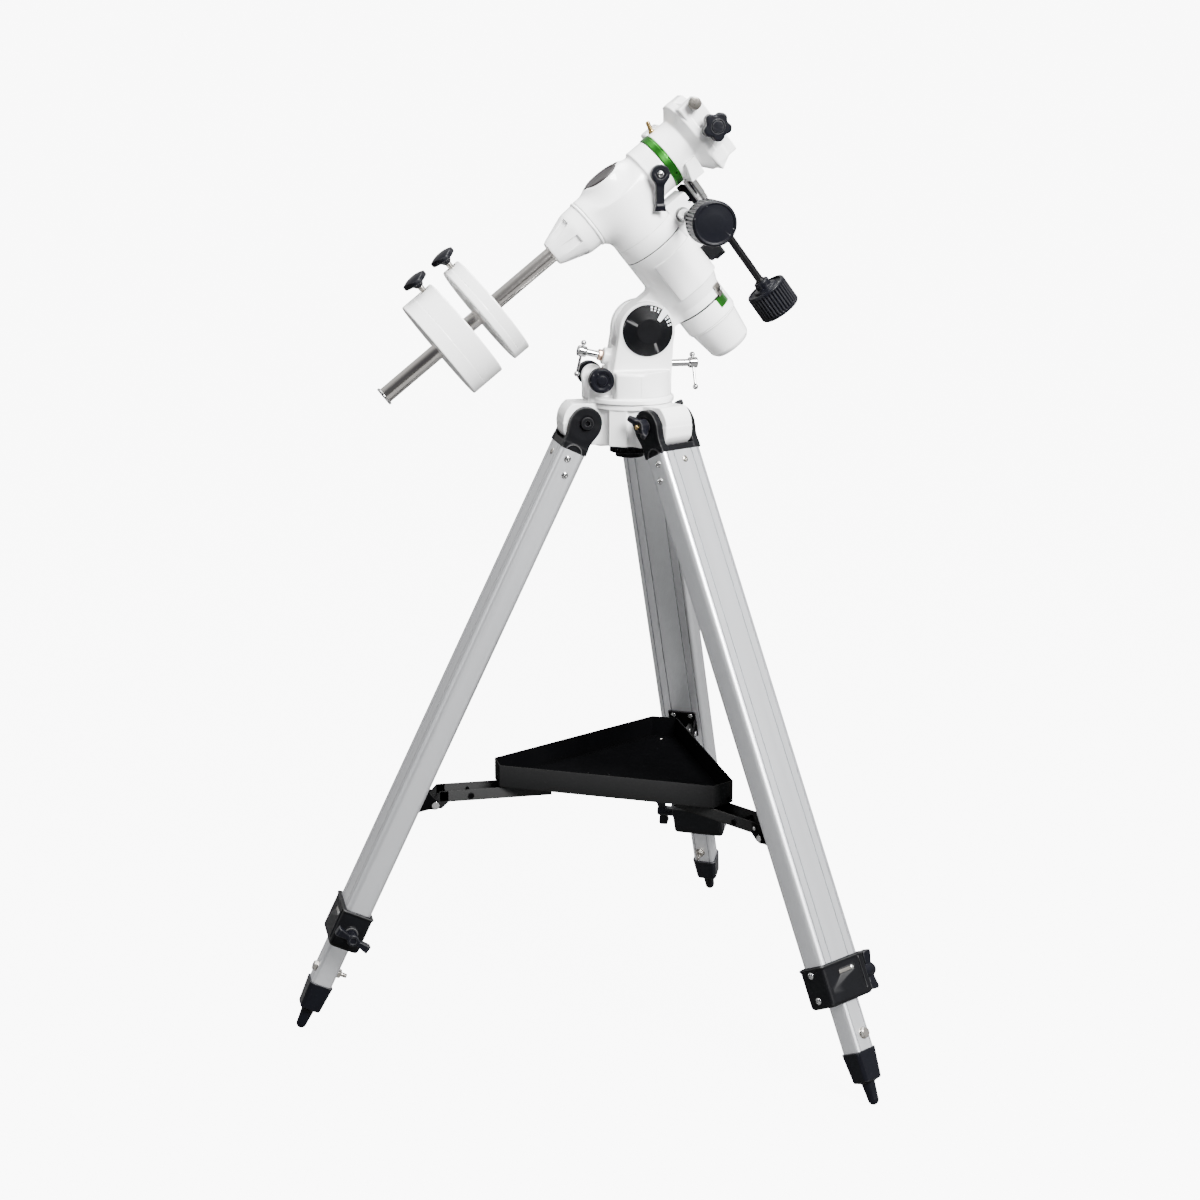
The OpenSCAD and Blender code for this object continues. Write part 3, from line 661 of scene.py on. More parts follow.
def head_castings():
    jobs = (("dec_housing", dec_housing, (-43, -39, -48), (60, 39, 30), 0.9, "dec_housing", ["dec_housing"]),
            ("ra_worm_housing", ra_worm_housing, (-38, -38, -99), (61, 38, -35), 0.9, "ra_housing",
             ["ra_worm_housing"]),
            ("ra_housing", ra_housing, (-102, -42, -180), (38, 38, -63), 1.0, "ra_housing", ["ra_housing"]),
            ("nose_cone", nose, (-96, -30, -30), (-42, 30, 30), 0.7, "saddle", ["nose"]),
            ("saddle_casting", saddle, (68, -46, -46), (133, 46, 46), 0.8, "saddle", ["saddle"]))
    for name, field, lo, hi, cell, body, nodes in jobs:
        cast(name, field, lo, hi, cell, HEAD, body, ENAMEL, nodes)
    lathe("rear_cap", [(0, 0), (30.6, 0), (30.6, -1.6), (29.2, -2.4), (24.6, -34), (20.5, -39), (0, -39)],
          shifted(HEAD, z=-173.1), "rear_cap", ENAMEL, ["rear_cap"], corner=1.6)
    # black rings set into the seam under the worm housing and into the window groove: painted shade where
    # these gaps would be dark
    for name, z, r in (("seam_shade_ring", SEAM_P - 0.9, 36.2), ("window_groove_shade_ring", -152.3, 30.2)):
        ring = [(r - 3, z), (r, z), (r, z + 0.95), (r - 3, z + 0.95), (r - 3, z)]
        lathe(name, ring, HEAD, "ra_housing", SLEEVE_AND_SEAM_SHADE_BLACK, corner=0.15)


# ---------------------------------------------------------------- base castings
BASE_Z = {"hub_low": 675, "hub_top": 721.7, "fork_low": 722, "fork_shoulder": 757, "tilt": 802}
PIVOT_R, PIVOT_Z = 55.8, 701.4   # leg hinge
LEG_ANGLES = (180, -60, 60)      # in the order of LEGS
LUG_HALF = 19.7                  # half the width of the hub between a leg's two ears
TILT_X = 14                      # latitude hinge
BOSS_X, BOSS_Z = -40, 749        # line of the azimuth screws
BOLT_DROP, BOLT_SLOPE = 40, 13   # latitude bolts below their hinge, and the slope of the north one
FORK_HALF, GAP_HALF = 24.8, 12.8


def hub(P):
    low, top = BASE_Z["hub_low"], BASE_Z["hub_top"]
    body = rod(P, "z", low, top, 43.5, edge=1.5)
    for angle in (0, 120, 240):
        body = smin(body, round_box(spin(P, "z", angle), (20, -10.5, low), (46, 10.5, top - 4), 1.2), 1.5)
    ring = 44.2 - np.hypot(P[..., 0], P[..., 1])
    half, lug_r = LUG_HALF, 24.5
    for angle in LEG_ANGLES:
        Q = spin(P, "z", angle)
        lug = rod(Q, "y", -half, half, lug_r, centre=(PIVOT_Z, PIVOT_R), edge=1.5)
        stem = round_box(Q, (8, -half, low), (PIVOT_R, half, top - 0.5), 1.5)
        skirt = round_box(Q, (30, -half, low + 3), (PIVOT_R + lug_r, half, PIVOT_Z), 1.5)
        skirt = smax(skirt, np.hypot(Q[..., 0] - PIVOT_R, Q[..., 2] - PIVOT_Z) - 26.8, 1)
        lug = smin(smin(lug, stem, 4), skirt, 2)
        pad = rod(Q, "y", -20.6, 20.6, 9, centre=(PIVOT_Z, PIVOT_R), edge=0.5)
        body = smin(body, smin(lug, pad, 0.8), 7)
        groove = round_box(Q, (26, -16, top - 7.6), (46.5, 16, top - 6.2), 0.5)
        body = smax(body, -smax(groove, ring, 0.3), 0.3)
    body = smin(body, rod(P, "z", top - 6, top, 47.5, edge=1.2), 1.5)
    body = smax(body, -rod(P, "z", low - 4, low + 1.2, 24.5, edge=0.5), 0.6)
    return smax(body, P[..., 2] - top, 0.3)


def fork(P):
    low, tilt, half, ear_r = BASE_Z["fork_low"], BASE_Z["tilt"], FORK_HALF, 31.5
    ring_top, waist = low + 6, 762
    base = rod(P, "z", low, BASE_Z["fork_shoulder"], 46.5, edge=3.5)
    back = slab(P, "x", -24.5, 60, [(-60, 700), (60, 700), (60, 800), (-60, 800)], 2)
    base = smax(base, back, 2)
    base = smin(base, rod(P, "z", low, ring_top, 49.5, edge=1.4), 1.8)
    outline = [(ring_top, -26), (ring_top, 41), (waist, 43.2), (tilt, TILT_X + ear_r),
               (tilt + 3, TILT_X + 31), (tilt + 3, TILT_X - 31), (tilt, TILT_X - ear_r), (waist, -25)]
    body = slab(P, "y", -half, half, outline, 2.2)
    body = smin(body, rod(P, "y", -half, half, ear_r, centre=(tilt, TILT_X), edge=2.0), 2)
    body = smin(body, base, 3)
    ring = rod(P, "y", -25.6, -20, 30.2, centre=(tilt, TILT_X), edge=0.6)
    body = smin(body, ring, 0.8)
    pad = slab(P, "y", -47.2, -20, [(730, 2), (730, 40), (757.6, 40), (757.6, 12), (753.4, 2)], 1.0)
    pad = smax(pad, np.hypot(P[..., 0], P[..., 1]) - 47.1, 0.8)
    body = smin(body, pad, 0.8)
    bar = rod(P, "y", -20, 20, 12, centre=(BOSS_Z, BOSS_X), edge=1.5)
    bar = smin(bar, round_box(P, (BOSS_X - 11.5, -20, low), (-20, 20, BOSS_Z), 2), 3)
    body = smin(body, bar, 3)
    Q = spin(moved(P, TILT_X, 0, tilt - BOLT_DROP), "y", BOLT_SLOPE)
    stem = round_box(Q, (-40, -9.5, -14), (-26, 9.5, 3), 1.2)
    body = smin(body, smin(rod(Q, "x", -47, -26, 9.5, edge=1.2), stem, 2), 3)
    gap = round_box(P, (-19, -GAP_HALF, 745), (37, GAP_HALF, 900), 0.6)
    wide = round_box(P, (-70, -GAP_HALF, 784), (70, GAP_HALF, 900), 0.6)
    peg_room = round_box(P, (-60, -GAP_HALF, 700), (-28, GAP_HALF, 766), 1.0)
    peg_room = np.maximum(peg_room, -rod(Q, "x", -60, 0, 10.5))
    body = smax(smax(body, -gap, 1), -wide, 1)
    body = smax(body, -smax(peg_room, P[..., 0] + 28, 0.1), 1)
    return smax(body, low - P[..., 2], 0.4)


def base_castings():
    cast("tripod_hub_casting", hub, (-84, -84, 674), (84, 84, 723), 1.1, BASE, "hub", ENAMEL,
         ["tripod_hub"])
    cast("azimuth_peg", lambda P: round_box(P, (-45, -4, 712), (-35, 4, 757), 1), (-46, -5, 711),
         (-34, 5, 758), 1.0, BASE, "hub", ENAMEL)
    cast("fork_casting", fork, (-57, -51, 721), (51, 51, 834), 1.0, BASE, "fork", ENAMEL,
         ["fork"])
    rim = 22.6
    grip = [(0, -17), (16, -17), (16, -12), (rim, -11.5), (rim, -2), (20.5, -0.4), (0, -0.4)]
    lathe("mount_knob_grip", grip, shifted(BASE, z=BASE_Z["hub_low"]), "mount_knob", NYLON,
          ["mount_knob"], corner=0.8, flutes=(20, 1.6, -11, -2.2, rim))


# ---------------------------------------------------------------- hardware shared by many places
def cap_screw(P):
    """Socket head, 7 in radius and 4.7 high on z, with a hexagon socket."""
    head = rod(P, "z", 0, 4.7, 7, edge=1.0)
    socket = smax(convex(P[..., 0], P[..., 1], hexagon(3.4), 0.1), 1.2 - P[..., 2], 0.1)
    return smax(head, -socket, 0.2)


def pan_screw(P):
    """Pan head with a cross recess, 4.2 in radius; scaled for the other sizes."""
    dome = np.sqrt(P[..., 0] ** 2 + P[..., 1] ** 2 + (P[..., 2] + 3.6) ** 2) - 5.7
    head = smax(smax(dome, -P[..., 2], 0.3), np.hypot(P[..., 0], P[..., 1]) - 4.2, 0.8)
    bars = [smax(np.abs(P[..., a]) - 0.55, np.abs(P[..., 1 - a]) - 2.3, 0.2) for a in (0, 1)]
    cross = smax(np.minimum(*bars), 0.7 - P[..., 2], 0.1)
    return smax(head, -cross, 0.15)


def hex_head(P):
    """Hexagon head, 6.4 to its corners and 4.5 high, chamfered, on a washer."""
    head = smax(convex(P[..., 0], P[..., 1], hexagon(6.4), 0.3), np.abs(P[..., 2] - 2.85) - 2.25, 0.3)
    cone = (np.hypot(P[..., 0], P[..., 1]) + (P[..., 2] - 4.6) * 1.2 - 6.0) * 0.64
    return smin(smax(head, cone, 0.2), rod(P, "z", 0, 0.7, 7.2, edge=0.2), 0.2)


HARDWARE = {"cap_screw": cast_mesh("cap_screw", cap_screw, (-8, -8, -0.5), (8, 8, 5.2), 0.45, 0.5),
            "pan_screw": cast_mesh("pan_screw", pan_screw, (-5, -5, -0.5), (5, 5, 3), 0.3, 0.6),
            "hex_head": cast_mesh("hex_head", hex_head, (-8, -8, -0.5), (8, 8, 5.6), 0.4, 0.5)}


def fastener(kind, name, place, body, material=CHROME, scale=1.0):
    place_cast(name, HARDWARE[kind], place @ Matrix.Scale(scale, 4), body, material)


# ---------------------------------------------------------------- tripod legs
LEG_W, LEG_T = 60, 30
CLAMP_TOP, CLAMP_KNOB, CLAMP_END = 616, 640, 662
WING_TURN = {"north": 78, "west": 4, "east": 0}
NUT_TURN = {"north": 20, "west": 118, "east": 20}
CAP_TOP = 716
TIP = 770.5            # centre of the foot's round end
BRACKET_PIN = (-30.4, -468.4)


def yoke(P):
    ears = []
    for side in (1, -1):
        lo, hi = sorted((20 * side, 30 * side))
        stem = round_box(P, (-14.8, lo, -35), (14.8, hi, -4), 1.4)
        ear = smin(rod(P, "y", lo, hi, 17.6, edge=1.4), stem, 9)
        ears.append(smax(ear, np.abs(P[..., 1] - 25 * side) - 5, 1.4))
    body = smin(np.minimum(*ears), round_box(P, (-14.8, -29, -35), (14.8, 29, -27.5), 1.2), 2.5)
    Q = np.stack((P[..., 0], np.abs(P[..., 1]), P[..., 2]), -1)
    rim = rod(Q, "y", 28, 30.7, 10.5, centre=(-37, 0), edge=0.5)
    dish = rod(Q, "y", 29.6, 34, 8.8, centre=(-37, 0), edge=0.3)
    body = smax(smin(body, rim, 0.6), -dish, 0.4)
    recess = rod(Q, "y", 29.4, 34, 8.2, centre=(0, 0), edge=0.4)
    return smax(smax(body, -recess, 0.5), -35.0 - P[..., 2], 0.4)


def clamp(P):
    wall = slab(P, "z", -CLAMP_END, -CLAMP_TOP, [(-18, -33), (18, -33), (18, 33), (-18, 33)], 5)
    rim = slab(P, "z", -CLAMP_TOP - 3, -CLAMP_TOP, [(-19, -34), (19, -34), (19, 34), (-19, 34)], 3)
    wall = smin(wall, rim, 2)
    wall = smax(wall, -round_box(P, (-15.2, -30.2, -650), (15.2, 30.2, -600), 0.5), 0.5)
    bore = round_box(P, (-12.9, -13.9, -700), (12.9, 13.9, -600), 1)
    wall = smax(wall, -bore, 0.5)
    wall = smin(wall, rod(P, "y", 31, 36.6, 8, centre=(-640, 0), edge=1), 1.5)
    slot = round_box(P, (16.4, -10, -631), (22, 14, -626.4), 0.8)
    rib = round_box(P, (17, 22.5, -655), (19.2, 24.5, -619), 0.6)
    return smax(smin(wall, rib, 0.8), -slot, 0.4)


def clamp_knob(P):
    """Wing knob on z, 0 at the leg's side: wings along x that widen towards their tips."""
    body = rod(P, "z", 7.4, 27.6, 6.6, edge=1.4)
    for side in (-1, 1):
        x = side * P[..., 0]
        wing = convex(x, P[..., 2], [(2, 18), (2, 25), (19.5, 27.8), (22, 26), (21.4, 16.6), (17, 15.2)], 1.0)
        wing = smax(wing, np.abs(P[..., 1]) - (2.0 + 0.13 * np.abs(x)), 1.2)
        body = smin(body, wing, 2.0)
    dish = rod(P, "z", 26.4, 33, 3.6, edge=0.3)
    return smax(body, -dish, 0.4)


def foot(P):
    low, shoulder = -CAP_TOP - 31, -CAP_TOP - 35
    z = P[..., 2]
    shrink = np.clip((-CAP_TOP - z) * 0.075, 0, 4)
    x, y = np.abs(P[..., 0]) + shrink * 0.8, np.abs(P[..., 1]) + shrink
    cap = smax(smax(x - 14.2, y - 15.5, 1.0), (x + y - 26.2) * 0.707, 1.0)
    cap = smax(cap, z + CAP_TOP, 0.8)
    bottom = (np.maximum(np.abs(P[..., 0]), np.abs(P[..., 1])) * 0.45 - (z - shoulder) - 3.2) * 0.9
    cap = smax(cap, bottom, 1.2)
    tip = spun(P, "z", [(0, -TIP), (5.9, -TIP), (8.0, low), (0, low)], edge=0.3)
    ball = np.sqrt(P[..., 0] ** 2 + P[..., 1] ** 2 + (z + TIP) ** 2) - 5.9
    return smin(cap, smin(tip, ball, 0.6), 1.2)


def bracket(P):
    """Folded bracket on the leg's inner face, with two ears round the arm's pin."""
    pin_x, pin_z = BRACKET_PIN
    plate = round_box(P, (-17, -17.6, pin_z - 16), (-15, 17.6, pin_z + 22), 0.6)
    ears = smin(rod(P, "y", -17.6, 17.6, 6.4, centre=(pin_z, pin_x), edge=0.4),
                slab(P, "y", -17.6, 17.6, [(pin_z - 16, -16), (pin_z - 5, -31), (pin_z + 4.5, -31),
                                           (pin_z + 12, -16)], 0.5), 2)
    ears = smax(ears, 15.6 - np.abs(P[..., 1]), 0.3)
    return smin(plate, ears, 1.5)


def leg_outline(thick, wide, r, grooves, depth=2.4, half=0.75):
    """Extrusion section in x and y, with rounded corners and drawn grooves down both broad faces."""
    x_out, y_out = thick / 2, wide / 2
    side = [(x_out, -y_out + r)]
    for y in grooves:
        side += [(x_out, y - half), (x_out - depth, y - half * 0.9), (x_out - depth, y + half * 0.9),
                 (x_out, y + half)]
    side.append((x_out, y_out - r))
    for k in range(1, 8):
        angle = math.pi / 2 * k / 8
        side.append((x_out - r + r * math.cos(angle), y_out - r + r * math.sin(angle)))
    side.append((x_out - r, y_out))
    start = [(x_out - r + r * math.cos(a), -y_out + r - r * math.sin(a))
             for a in [math.pi / 2 * k / 8 for k in range(8, 0, -1)]]
    return [(sign * x, sign * y) for sign in (1, -1) for x, y in start + side]


def tripod_legs():
    wing_knob = cast_mesh("wing_knob", clamp_knob, (-23, -8, 6), (23, 8, 29), 0.6)
    shapes = {"yoke": cast_mesh("yoke_casting", yoke, (-18, -31, -36), (18, 31, 18), 0.8),
              "clamp": cast_mesh("clamp_shell", clamp, (-19, -34, -663), (20, 38, -615), 0.9),
              "foot": cast_mesh("foot_cap", foot, (-15, -16, -777), (15, 16, -715), 0.7),
              "brace_bracket": cast_mesh("folded_bracket", bracket, (-38, -19, -486), (-14, 19, -445), 0.7)}
    upper = leg_outline(LEG_T, LEG_W, 6.5, (-23, -13.5, 13.5, 23))
    lower = leg_outline(25, 27, 4.5, (-8.6, 8.6), 1.6, 0.6)
    for leg in LEGS:
        place, body = LEG[leg], "leg_" + leg
        for part, carrier, material, slot in (
                ("yoke", body, NYLON, "black_casting"), ("clamp", body, NYLON, "black_casting"),
                ("foot", "extension_" + leg, PLASTIC, "black_casting"),
                ("brace_bracket", body, POWDER, "black_paint")):
            node = f"{part}_{leg}"
            place_cast(shapes[part][0].name + "_" + leg, shapes[part], place, carrier, material, [node])
        seat = turned(aim(place, (0, 1, 0), (0, LEG_W / 2, -CLAMP_KNOB)), 90 + WING_TURN[leg], "Z")
        place_cast("wing_knob_" + leg, wing_knob, seat, "clamp_knob_" + leg, PLASTIC,
                   ["clamp_knob_" + leg])
        prism("upper_extrusion_" + leg, upper, -650, -35, place, body, ALLOY[leg],
              ["upper_leg_" + leg], bevel=0)
        prism("lower_extrusion_" + leg, lower, -CAP_TOP, -150, place, "extension_" + leg, ALLOY[leg],
              ["lower_leg_" + leg], bevel=0)
        leg_fittings(leg, place, body)


def leg_fittings(leg, place, body):
    x_out, y_side = LEG_T / 2, LEG_W / 2
    for k, z in enumerate((-45, -63)):
        for side in (-1, 1):
            at = aim(place, (0, side, 0), (3 - 5 * k, side * y_side, z))
            fastener("pan_screw", f"yoke_screw_{leg}_{k}_{side + 1}", at, body)
    fastener("pan_screw", f"yoke_front_screw_{leg}", aim(place, (1, 0, 0), (x_out, 0, -46)), body, NICKEL)
    for k, z in enumerate((-624, -652)):
        fastener("pan_screw", f"clamp_screw_{leg}_{k}", aim(place, (0, -1, 0), (-2, -y_side - 3, z)), body)
    prism(f"clamp_strip_{leg}", [(-9.4, -2.0), (13.4, -2.0), (13.4, 2.0), (-9.4, 2.0)], 0, 1.6,
          aim_x(place, (16.2, 0, -628.7)), body, NICKEL, bevel=0.3)
    fastener("pan_screw", f"clamp_stud_{leg}", aim(place, (1, 0, 0), (17.3, 11.5, -628.7)), body, scale=0.7)
    bolt_z = -CAP_TOP + 17
    for k, side in enumerate((1, -1)):
        fastener("hex_head", f"foot_bolt_{leg}_{k}", aim(place, (side, 0, 0), (side * 12.5, 3, bolt_z)),
                 "extension_" + leg, NICKEL, scale=0.9)
    stud = [(0, 0), (2.6, 0), (2.6, 9), (0, 9)]
    lathe(f"foot_stud_{leg}", stud, aim(place, (-1, 0, 0), (-15.5, 3, bolt_z)), "extension_" + leg, NICKEL,
          sides=24)
    fastener("cap_screw", f"pivot_bolt_head_{leg}", aim(place, (0, 1, 0), (0, y_side - 0.4, 0)), "hub", NYLON)
    pivot_wing(leg, place)
    for k, y in enumerate((-11, 11)):
        fastener("pan_screw", f"bracket_screw_{leg}_{k}", aim(place, (-1, 0, 0), (-17, y, -452)), body,
                 scale=0.75)
    pin_x, pin_z = BRACKET_PIN
    pin = [(0, -20.4), (3.6, -20.4), (3.6, -18.2), (2.5, -18), (2.5, 18), (4.4, 18.2), (4.4, 21.4), (0, 21.4)]
    lathe(f"bracket_pin_{leg}", pin, aim(place, (0, 1, 0), (pin_x, 0, pin_z)), body, CHROME,
          sides=32, corner=0.4)


def aim_x(place, at):
    """A frame at a local point with z along local x, x along local y and y along local z."""
    turn = Matrix(((0, 0, 1), (1, 0, 0), (0, 1, 0))).to_4x4()
    return place @ Matrix.Translation(at) @ turn


def wing_nut(P):
    """Plastic wing nut on z, 0 at its seat."""
    body = spun(P, "z", [(0, 0), (7, 0), (6, 9), (0, 9)], edge=1)
    for side in (-1, 1):
        x = side * P[..., 0]
        wing = convex(x, P[..., 2], [(2, 1.5), (11, 4.5), (14.5, 10.5), (12, 12.5), (2, 8)], 1.5)
        body = smin(body, smax(wing, np.abs(P[..., 1]) - 2.8, 1.5), 2)
    return smax(body, -rod(P, "z", 5, 20, 2.6, edge=0.2), 0.4)


WING = cast_mesh("wing_nut", wing_nut, (-16, -8, -1), (16, 8, 13.5), 0.55)


def pivot_wing(leg, place):
    seat = aim(place, (0, -1, 0), (0, -LEG_W / 2 + 0.2, 0))
    nut = turned(seat, NUT_TURN[leg], "Z") @ Matrix.Scale(1.2, 4)
    place_cast("pivot_wing_nut_" + leg, WING, nut, "hub", PLASTIC,
               ["leg_pivot_bolts"] if leg == LEGS[0] else ())
    lathe("pivot_stud_" + leg, [(0, 0), (2.6, 0), (2.6, 13), (2.0, 13.6), (0, 13.6)], seat, "hub", BRASS,
          sides=28, corner=0.3)


# ---------------------------------------------------------------- spreader and tray
ARM_L = 136


def u_channel(w, h, t, r=1.6):
    """Open-topped channel section, anticlockwise in y and z."""
    def arc(cy, cz, radius, a0, a1):
        angles = [a0 + (a1 - a0) * k / 4 for k in range(5)]
        return [(cy + radius * math.cos(a), cz + radius * math.sin(a)) for a in angles]

    half, fold = w / 2, 0.4
    outer = arc(-half + r, r, r, math.pi, 1.5 * math.pi) + arc(half - r, r, r, 1.5 * math.pi, 2 * math.pi)
    inner = arc(half - t - fold, t + fold, fold, 0, -0.5 * math.pi)
    inner += arc(-half + t + fold, t + fold, fold, -0.5 * math.pi, -math.pi)
    return outer + [(half, h), (half - t, h)] + inner + [(-half + t, h), (-half, h)]


def spreader():
    round_end = [(6.0 * math.sin(a), 6.0 * math.cos(a)) for a in np.linspace(0.3, math.pi, 9)]
    ear = [(-16, 1.2), (-16, 14), (-6, 14)] + round_end + [(-8, -6)]
    upright = Matrix(((1, 0, 0), (0, 0, 1), (0, 1, 0))).to_4x4()
    pin = [(0, -17), (3.4, -17), (3.4, -15), (1.8, -14.8), (1.8, 14.8), (3.4, 15), (3.4, 17), (0, 17)]
    for leg, angle in zip(LEGS, LEG_ANGLES):
        out = Vector((math.cos(math.radians(angle)), math.sin(math.radians(angle)), 0))
        place = local_frame(joint_pos(f"brace_{leg}_fold"), out, UP)
        body = "brace_" + leg
        prism("spreader_arm_" + leg, u_channel(30, 13, 2), -ARM_L, -6, aim_x(place, (0, 0, 1)), body, POWDER,
              ["brace_arm_" + leg], bevel=0)
        for side in (-1, 1):
            near, far = sorted((side * 13, side * 15))
            prism(f"arm_ear_{leg}_{side + 1}", ear, near, far, place @ upright, body, POWDER,
                  bevel=0.3)
        lathe(f"arm_cross_pin_{leg}", pin, aim(place, (0, 1, 0), (-42, 0, 7.5)), body, POWDER,
              sides=24, corner=0.5)
        fastener("pan_screw", "arm_rivet_" + leg, aim(place, (0, -1, 0), (-12, -15, 7.5)), body, scale=0.6)


def tray_ring(r, half):
    """Corners of the tray's outline, anticlockwise."""
    ring = []
    for angle in LEG_ANGLES:
        c, s = math.cos(math.radians(angle)), math.sin(math.radians(angle))
        ring += [(r * c - side * half * s, r * s + side * half * c) for side in (-1, 1)]
    return sorted(ring, key=lambda corner: math.atan2(corner[1], corner[0]))


def tray():
    """Six-cornered tray with three long and three short sides: its floor and its rim are one sheet."""
    r, half, rim, sheet = 155.2, 15.9, 25.7, 1.6
    place = shifted(BASE, z=281)
    outer, inner = tray_ring(r, half), tray_ring(r - sheet, half - sheet / math.sqrt(3))
    rings = ((outer, 0), (outer, rim), (inner, rim), (inner, sheet))
    verts = [(x, y, z) for ring, z in rings for x, y in ring]
    faces = [tuple(range(6))[::-1], tuple(range(18, 24))]
    for level in range(3):
        faces += [(6 * level + k, 6 * level + (k + 1) % 6, 6 * level + 6 + (k + 1) % 6, 6 * level + 6 + k)
                  for k in range(6)]
    mesh_piece("accessory_tray", verts, faces, place, "tray", POWDER, ["tray"], bevel=0.55)
    for k, angle in enumerate(LEG_ANGLES):
        at = turned(place, angle, "Z")
        fastener("pan_screw", f"tray_rivet_{k}", shifted(at, x=r - 14, z=sheet), "tray", NICKEL, scale=0.6)
        fastener("pan_screw", f"tray_side_rivet_{k}", aim(at, (1, 0, 0), (r, 9, 6)), "tray", POWDER,
                 scale=0.7)
    for k, (x, y) in enumerate(((-46, 8), (-24, -4))):
        fastener("pan_screw", f"tray_floor_screw_{k}", shifted(place, x, y, sheet), "tray", POWDER,
                 scale=0.5)


# ---------------------------------------------------------------- fork fittings
DIAL_CONE = ((14.6, 8.4), (27.6, 2.4))   # radius and height of the latitude dial's cone, top and low edge
TOWARDS_POINTER = -48


def fork_fittings():
    tilt = BASE_Z["tilt"]
    near = aim(BASE, (0, -1, 0), (TILT_X, -25.1, tilt))
    (top_r, top), (low_r, low) = DIAL_CONE
    dial = [(0, 0), (28.5, 0), (28.5, 1.6), (low_r, low), (top_r, top), (13.6, 8.8), (0, 8.8)]
    lathe("latitude_disc", dial, near, "ra_housing", NYLON, ["latitude_dial"], corner=0.5)
    latitude_marks(near)
    far = aim(BASE, (0, 1, 0), (TILT_X, 25.0, tilt))
    lathe("latitude_axle_nut", [(0, 0), (10, 0), (10, 5), (8.6, 6.4), (0, 6.4)], far, "ra_housing", PLASTIC,
          corner=0.6)
    rim = 14
    grip = [(0, 5.4), (10.5, 5.4), (10.5, 6), (rim, 6), (rim, 15), (12.2, 16.6), (9.2, 16.6), (8.6, 15.8),
            (5.8, 15.8), (5.2, 17.2), (0, 17.2)]
    screw = [(0, -16.2), (3.6, -16.2), (4, -15.8), (4, 5.8), (0, 5.8)]
    for name, side in (("west", -1), ("east", 1)):
        place, body = aim(BASE, (0, side, 0), (BOSS_X, side * 21, BOSS_Z)), "azimuth_knob_" + name
        lathe("azimuth_knob_grip_" + name, grip, place, body, PLASTIC, corner=0.5,
              flutes=(28, 0.5, 6.6, 14.4, rim))
        lathe("azimuth_screw_" + name, screw, place, body, STEEL, [body], sides=40)
    south_line = shifted(TILT, z=-BOLT_DROP)
    north_line = turned(south_line, BOLT_SLOPE, "Y")
    t_bolt("north", aim(north_line, (-1, 0, 0)), 66, shifted(north_line, x=-71), -26)
    t_bolt("south", aim(south_line, (1, 0, 0)), 54, turned(shifted(south_line, x=59), -25, "X"), -28.6)
    prism("latitude_lock_nut", hexagon(6.6, 0.3), 0, 5, aim(north_line, (-1, 0, 0), (-47.2, 0, 0)), "fork",
          COPPER, bevel=0.5)


def latitude_marks(near):
    """White division marks on the dial's cone, and the pointer that is fixed to the fork."""
    (top_r, top), (low_r, low) = DIAL_CONE
    rise = (top - low) / (low_r - top_r)
    slope = math.degrees(math.atan(rise))
    square = ((-0.75, -0.75), (0.75, -0.75), (0.75, 0.75), (-0.75, 0.75))
    sides = ((3, 2, 1, 0), (4, 5, 6, 7), (0, 1, 5, 4), (1, 2, 6, 5), (2, 3, 7, 6), (3, 0, 4, 7))
    for row, (radius, size) in enumerate(((26.2, 1.5), (23.4, 1.2))):
        verts, faces = [], []
        on_cone = Matrix.Translation((radius, 0, low + (low_r - radius) * rise - 0.15))
        for k in (-4, -3, -2, -1, 1, 2, 3, 4):
            angle = -TOWARDS_POINTER + k * 9.5 + (4.5 if k < 0 else -4.5)
            at = turned(turned(Matrix.Identity(4), angle, "Z") @ on_cone, slope, "Y")
            faces += [tuple(len(verts) + m for m in face) for face in sides]
            verts += [tuple(at @ Vector((x * size, y * size, dz))) for dz in (0, 0.35) for x, y in square]
        mesh_piece(f"latitude_marks_{row}", verts, faces, near, "ra_housing", INK)
    at = turned(near, -TOWARDS_POINTER, "Z")
    profile = [(29.6, -0.3), (31.2, -0.3), (31.2, 3.0), (28.4, 3.9), (15.6, 9.6), (15.2, 8.9), (28.2, 2.9),
               (29.6, 2.4)]
    verts = []
    for side in (-1, 1):
        for r, z in profile:
            half = 2.1 + (r - 15) * 0.13
            verts.append((r, side * half, z))
    n = len(profile)
    faces = [tuple(range(n)), tuple(range(n, 2 * n))[::-1]]
    faces += [(k, n + k, n + (k + 1) % n, (k + 1) % n) for k in range(n)]
    mesh_piece("latitude_pointer", verts, faces, at, "fork", INK, bevel=0.25)


def t_bolt(name, place, head, bar_place, low):
    """Latitude bolt on z with its head, and the tommy bar through it, with balls at low and at high."""
    start, high, ball_r = 8.45, 9.4, 3.2
    bolt = "latitude_bolt_" + name
    shank = [(0, start), (3, start), (4, start + 1), (4, head + 0.5), (0, head + 0.5)]
    lathe(f"latitude_bolt_shank_{name}", shank, place, bolt, CHROME, [bolt], sides=40)
    end = [(0, head - 0.4), (5.2, head - 0.4), (5.6, head), (6.1, head + 1), (6.1, head + 9),
           (5.2, head + 10), (0, head + 10)]
    lathe(f"latitude_bolt_head_{name}", end, place, bolt, CHROME, sides=48)
    ball = [(ball_r * math.sin(a), -ball_r * math.cos(a)) for a in np.linspace(0.35, math.pi - 0.35, 9)]
    bar = [(0, low - ball_r)] + [(r, z + low) for r, z in ball] + [(1.5, low + ball_r), (1.5, 6.6)]
    bar += [(r, z + high) for r, z in ball] + [(0, 12.6)]
    lathe("tommy_bar_rod_" + name, bar, bar_place, "tommy_bar_" + name, CHROME,
          ["tommy_bar_" + name], sides=28, corner=0.2)


